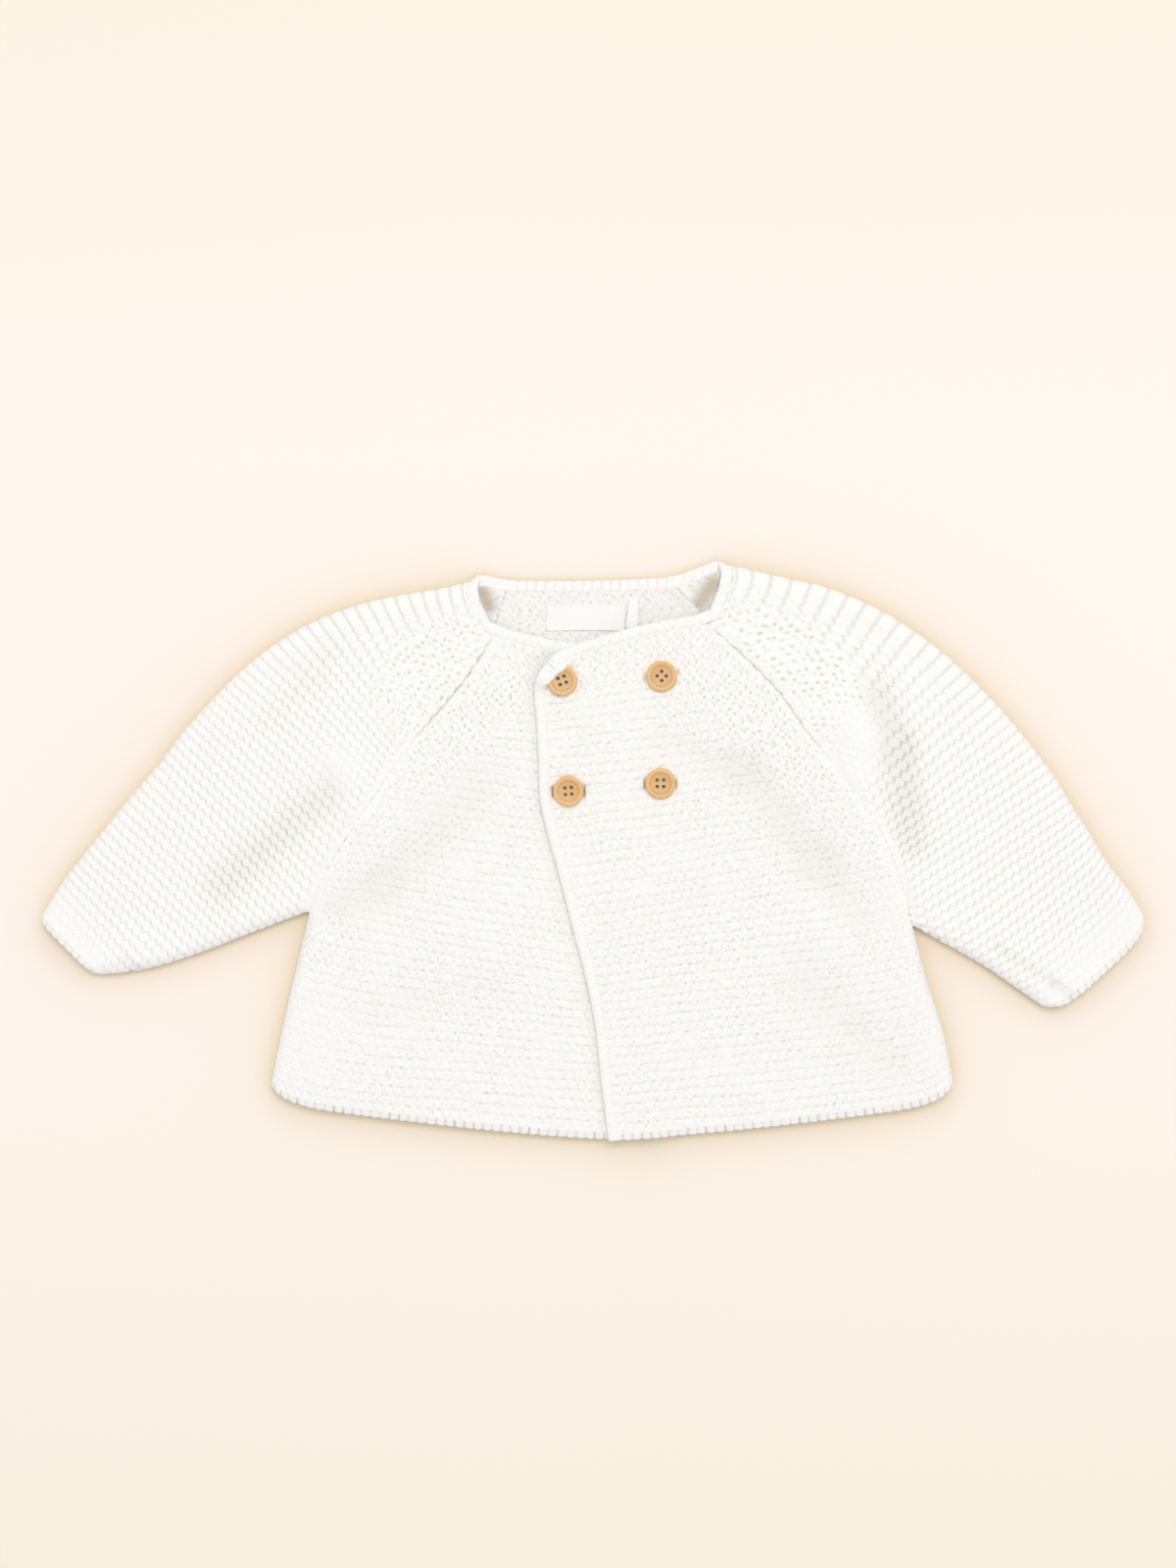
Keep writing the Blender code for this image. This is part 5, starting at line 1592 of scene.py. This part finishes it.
def buttonProfile():
    # half a section, from the middle of the back round the edge to the middle of the dish
    radius, thick = buttons["radius"], buttons["thickness"]
    below, above = buttons["roundings"]
    profile = [(0.0, 0.0), (radius - below, 0.0)]
    for step in range(0, 7):
        angle = math.pi / 2 * step / 6
        profile.append((radius - below + below * math.sin(angle), below - below * math.cos(angle)))
    for step in range(0, 9):
        angle = math.pi / 2 * step / 8
        profile.append((radius - above + above * math.cos(angle), thick - above + above * math.sin(angle)))
    outside, width = buttons["slope"]
    for step in range(1, 9):
        drop = buttons["dish"] * float(smoothStep(step / 8))
        profile.append((radius - buttons["rim"] + outside - width * (step / 8), thick - drop))
    return profile + [(0.0, thick - buttons["dish"] - buttons["middleDrop"])]


def turnedDisc(name):
    sides = buttons["sides"]
    angles = [2 * math.pi * k / sides for k in range(sides)]
    shape = bmesh.new()
    rings = []
    for px, pz in buttonProfile():
        spots = [(px * mm * math.cos(a), px * mm * math.sin(a), pz * mm) for a in (angles if px else [0.0])]
        rings.append([shape.verts.new(spot) for spot in spots])
    for one, two in zip(rings, rings[1:]):
        for k in range(sides):
            after = (k + 1) % sides
            corners = [one[k % len(one)], one[after % len(one)], two[after % len(two)], two[k % len(two)]]
            corners = [c for place, c in enumerate(corners) if c not in corners[:place]]
            if len(corners) > 2:
                shape.faces.new(corners)
    bmesh.ops.remove_doubles(shape, verts=shape.verts, dist=1e-7)
    bmesh.ops.recalc_face_normals(shape, faces=shape.faces)
    mesh = bpy.data.meshes.new(name)
    shape.to_mesh(mesh)
    shape.free()
    return newObject(name, mesh)


def makeButton(node, x, y, turn, tilt, material):
    # a turned disc: rounded edge, broad rim, dished middle, four drilled holes
    thick = buttons["thickness"]
    inner = buttons["radius"] - buttons["rim"]
    piece = turnedDisc("wood_" + node)
    drill = bmesh.new()
    for hole in range(4):
        angle = math.pi / 4 + hole * math.pi / 2
        pitch = buttons["holePitch"] * math.sqrt(2)
        spot = Vector((pitch * math.cos(angle), pitch * math.sin(angle), thick / 2)) * mm
        bmesh.ops.create_cone(drill, cap_ends=True, segments=buttons["holeSides"],
                              radius1=buttons["holeRadius"] * mm, radius2=buttons["holeRadius"] * mm,
                              depth=3 * thick * mm, matrix=Matrix.Translation(spot))
    cutterMesh = bpy.data.meshes.new("drill")
    drill.to_mesh(cutterMesh)
    drill.free()
    cutter = newObject("drill", cutterMesh)
    cut = piece.modifiers.new("holes", "BOOLEAN")
    cut.operation = "DIFFERENCE"
    cut.object = cutter
    cut.solver = "EXACT"
    bpy.context.view_layer.update()
    drilled = bpy.data.meshes.new_from_object(piece.evaluated_get(bpy.context.evaluated_depsgraph_get()))
    piece.modifiers.clear()
    piece.data = drilled
    bpy.data.objects.remove(cutter, do_unlink=True)
    drilled.materials.clear()
    drilled.materials.append(material)
    hollowShade = []
    for vertex in drilled.vertices:
        # painted shade: dark in the holes, a little darker in the dish and on its slope
        inside = math.hypot(vertex.co.x, vertex.co.y) / mm < inner - 0.2
        low = vertex.co.z / mm < thick - 0.5
        deep = vertex.co.z / mm < thick - buttons["dish"] - 0.15
        hollowShade.append(0.0 if not inside else 1.0 if deep else 0.22 if low else 0.12)
    attribute = drilled.attributes.new("hollowShade", "FLOAT", "POINT")
    attribute.data.foreach_set("value", hollowShade)
    drilled.shade_smooth()
    drilled.set_sharp_from_angle(angle=math.radians(50))
    turned = Matrix.Rotation(math.radians(tilt), 4, "Y") @ Matrix.Rotation(math.radians(turn), 4, "Z")
    drilled.transform(Matrix.Translation(Vector((x * mm, y * mm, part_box(node)[0][2]))) @ turned)
    return finishPiece(piece, node)


def closedSheet(name, node, top, bottom, material):
    # two grids of the same shape joined round their rims
    rows, columns = top.shape[:2]
    points = np.vstack([top.reshape(-1, 3), bottom.reshape(-1, 3)])
    at = np.arange(rows * columns).reshape(rows, columns)
    under = at + rows * columns
    faces = gridFaces(at) + gridFaces(under, True)
    for one, two in ((at[0], under[0]), (at[-1][::-1], under[-1][::-1]), (at[:, -1], under[:, -1]),
                     (at[::-1, 0], under[::-1, 0])):
        faces += np.stack([one[1:], one[:-1], two[:-1], two[1:]], axis=1).tolist()
    piece = knitObject(name, node, points, faces, points[:, :2] / 2.0, np.zeros((len(points), 5)), material)
    piece.data.set_sharp_from_angle(angle=math.radians(60))
    return piece


def makeLabel(material):
    width, depth = tapes["label"]
    middleX, middleY = tapes["labelMiddle"]
    across, along = np.meshgrid(np.linspace(-1, 1, 73), np.linspace(-1, 1, 25))
    x = middleX + across * width / 2
    y = middleY + along * depth / 2 - tapes["labelSag"] * across ** 2
    wave = tapes["labelWave"] * (0.5 + 0.5 * np.sin(3.1 * across + 0.6)) * (1.0 - along) / 2
    z = cloth["wall"] + tapes["labelLift"] + wave
    (fromAlong, riseAlong), (fromAcross, riseAcross) = tapes["labelHems"]
    hems = riseAlong * (np.abs(along) > fromAlong) + riseAcross * (np.abs(across) > fromAcross)
    top = np.dstack([x, y, z + tapes["labelThickness"] + hems])
    return closedSheet("bareLabel", "neck_label", top, np.dstack([x, y, z]), material)


def makeTab(material):
    # a short tape folded double: up, round the fold, and back
    width, depth = tapes["tab"]
    middleX, middleY = tapes["tabMiddle"]
    radius = tapes["tabFold"]
    low = cloth["wall"] + cloth["seamGap"]
    base = low + tapes["tabLift"]
    path = [(middleY + depth / 2 * (1 - 2 * k / 10), base) for k in range(10)]
    for step in range(0, 13):
        angle = math.pi * step / 12
        path.append((middleY - depth / 2 + radius - radius * math.sin(angle),
                     base + radius * (1 - math.cos(angle))))
    path += [(middleY - depth / 2 + radius + (depth - radius) * k / 12,
              base + 2 * radius + tapes["tabPuff"] * math.sin(math.pi * k / 12)) for k in range(1, 13)]
    path = np.array(path)
    slope = unit(np.gradient(path, axis=0))
    outside = np.stack([slope[:, 1], -slope[:, 0]], axis=1)
    across = np.linspace(-1.0, 1.0, 13)[None, :]
    (narrow, wider), (flare, flareLevel) = tapes["tabWidths"], tapes["tabFlare"]
    bow, bowDrop = tapes["tabBow"]
    grids = []
    for shift in (0.0, -tapes["tabThickness"]):
        line = path + outside * shift
        near = smoothStep((middleY + depth / 4 - line[:, :1]) / depth)
        lean = tapes["tabLean"] * (line[:, :1] - middleY)
        x = middleX + across * width / 2 * (narrow + wider * near) + lean
        y = line[:, :1] + flare * near * (np.abs(across) ** 3 - flareLevel)
        upper = smoothStep((line[:, 1:] - low - 0.8) / 1.2)
        z = line[:, 1:] + upper * (bow - bowDrop * across ** 2) * (0.4 + 0.6 * near)
        grids.append(np.dstack([x, y, z]))
    return closedSheet("foldedTab", "size_tab", grids[0], grids[1], material)


studio = {
    "middle": (-1.575, 29.25),
    "cameraHeight": 1206.0,
    "lens": 60.0,
    "sensor": 36.0,
    "floorSize": 6000.0,
    "floorDepth": 0.4,
    "floorColor": (0.985, 0.91, 0.87, 1.0),
    # random clouds and the painted falloff of light share this darker, warmer colour
    "floorCloudsAndFalloff": (0.92, 0.86, 0.75, 1.0),
    "falloffMiddle": 0.06,        # metres: painted falloff of light, the floor is tinted darker and warmer further from this y on both sides
    "falloffFrom": 0.12,
    "falloffGain": 3.0,
    "floorShade": (0.74, 0.59, 0.34, 1.0),
    "shadeReach": 90.0,
    "shadeCurve": 0.72,
    "shadeGain": 1.15,
    "mostShade": 0.54,
    "keyPlace": (300.0, 1300.0, 4370.0),
    "keySize": 2200.0,
    "keyPower": 80.0,
    "keyColor": (1.06, 1.0, 0.90),
    "fillColor": (0.972, 0.982, 1.005, 1.0),
    "fillStrength": 0.69,
}


def floorMaterial():
    material, tree, shader = newMaterial("paleFloor", Roughness=0.9, Specular_IOR_Level=0.1)
    place = tree.nodes.new("ShaderNodeTexCoord")
    cloudy = addNode(tree, "ShaderNodeTexNoise", Scale=2.0, Detail=2.0)
    tree.links.new(place.outputs["Object"], cloudy.inputs["Vector"])
    apart = tree.nodes.new("ShaderNodeSeparateXYZ")
    tree.links.new(place.outputs["Object"], apart.inputs[0])
    # painted falloff of light: darker and warmer away from the middle, with random clouds
    offMiddle = mathNode(tree, "SUBTRACT", apart.outputs[1], studio["falloffMiddle"])
    drift = mathNode(tree, "SUBTRACT", mathNode(tree, "ABSOLUTE", offMiddle), studio["falloffFrom"])
    drift = mathNode(tree, "MULTIPLY", drift, studio["falloffGain"], clamp=True)
    clouds = mathNode(tree, "MULTIPLY", cloudy.outputs["Fac"], 0.2)
    share = mathNode(tree, "ADD", clouds, drift, clamp=True)
    tint = mixColor(tree, share, studio["floorColor"], studio["floorCloudsAndFalloff"])
    # painted shadow: the paper is tinted warmer and darker close to the garment, as far as the garment
    # hides the room from it
    near = addNode(tree, "ShaderNodeAmbientOcclusion", {"samples": 12}, Distance=studio["shadeReach"] * mm)
    share = mathNode(tree, "SUBTRACT", 1.0, near.outputs["AO"])
    share = mathNode(tree, "POWER", share, studio["shadeCurve"])
    share = mathNode(tree, "MINIMUM", mathNode(tree, "MULTIPLY", share, studio["shadeGain"]),
                     studio["mostShade"])
    tree.links.new(mixColor(tree, share, tint, studio["floorShade"]), shader.inputs["Base Color"])
    return material


def makeFloor():
    size, low = studio["floorSize"] * mm / 2, -studio["floorDepth"] * mm
    mesh = bpy.data.meshes.new("paleFloor")
    corners = [(-size, -size, low), (size, -size, low), (size, size, low), (-size, size, low)]
    mesh.from_pydata(corners, [], [(0, 1, 2, 3)])
    mesh.materials.append(floorMaterial())
    newObject("paleFloor", mesh)


def makeCamera():
    camera = bpy.data.cameras.new("above")
    camera.lens = studio["lens"]
    camera.sensor_width = studio["sensor"]
    holder = newObject("above", camera)
    middleX, middleY = studio["middle"]
    holder.location = (middleX * mm, middleY * mm, studio["cameraHeight"] * mm)
    bpy.context.scene.camera = holder


def makeLights():
    lamp = bpy.data.lights.new("softWindow", "AREA")
    lamp.shape = "SQUARE"
    lamp.size = studio["keySize"] * mm
    lamp.energy = studio["keyPower"]
    lamp.color = studio["keyColor"]
    holder = newObject("softWindow", lamp)
    place = Vector(studio["keyPlace"]) * mm
    holder.location = place
    aim = Vector((studio["middle"][0] * mm, studio["middle"][1] * mm, 0.0)) - place
    holder.rotation_euler = aim.to_track_quat("-Z", "Y").to_euler()
    world = bpy.data.worlds.new("paleRoom")
    world.use_nodes = True
    background = world.node_tree.nodes["Background"]
    background.inputs["Color"].default_value = studio["fillColor"]
    background.inputs["Strength"].default_value = studio["fillStrength"]
    bpy.context.scene.world = world
    bpy.context.scene.view_settings.view_transform = "Standard"


def build():
    print("camera, light and floor")
    makeCamera()
    makeLights()
    makeFloor()
    yarnGroup = makeYarnGroup()
    knit = knitMaterial("knitYarn", yarn["outside"], yarnGroup)
    knitInside = knitMaterial("knitYarnInside", yarn["inside"], yarnGroup)
    tape = tapeMaterial()
    turnedWood = woodMaterial()
    right = halfCurves(rightHalf, frontHeight)
    left = halfCurves(leftHalf, upperHeight)
    print("back panel")
    back = makeBack("knitBack", "back", left, right, knitInside)
    print("fronts")
    rightFront = makeFront("knitRightFront", "right_front", right, frontHeight, rightHalf["neckSag"],
                           frontPanels["rightSpots"], 1, knit,
                           over=joined(left["sideEdge"], left["yokeEdge"]))
    leftFront = makeFront("knitLeftFront", "left_front", left, upperHeight, leftHalf["neckSag"],
                          frontPanels["leftSpots"], 2, knit, edging["corner"])
    print("sleeves")
    rightSleeve = makeSleeve("knitRightSleeve", "right_sleeve", right, frontHeight, sleeves["rightSpots"],
                             3, knit)
    leftSleeve = makeSleeve("knitLeftSleeve", "left_sleeve", left, upperHeight, sleeves["leftSpots"],
                            4, knit)
    print("edgings")
    leftBand = edgingStrip("leftBand", "left_front_edging", frontEdgeStations(leftFront),
                           cloth["wall"] + edging["leftExtra"], edging["crown"], edging["tick"],
                           0.0, 1.0, knit)
    rightBand = edgingStrip("rightBand", "right_front_edging", frontEdgeStations(rightFront),
                            cloth["wall"], edging["crown"], edging["tick"], 0.0, 0.0, knit)
    neckBand = makeNeckEdging(leftFront, rightFront, leftSleeve, rightSleeve, back, knit)
    print("buttons, label and tab")
    for node, (x, y, turn, tilt) in buttons["places"].items():
        makeButton(node, x, y, turn, tilt, turnedWood)
    label = makeLabel(tape)
    makeTab(tape)
    print("finished")
build()
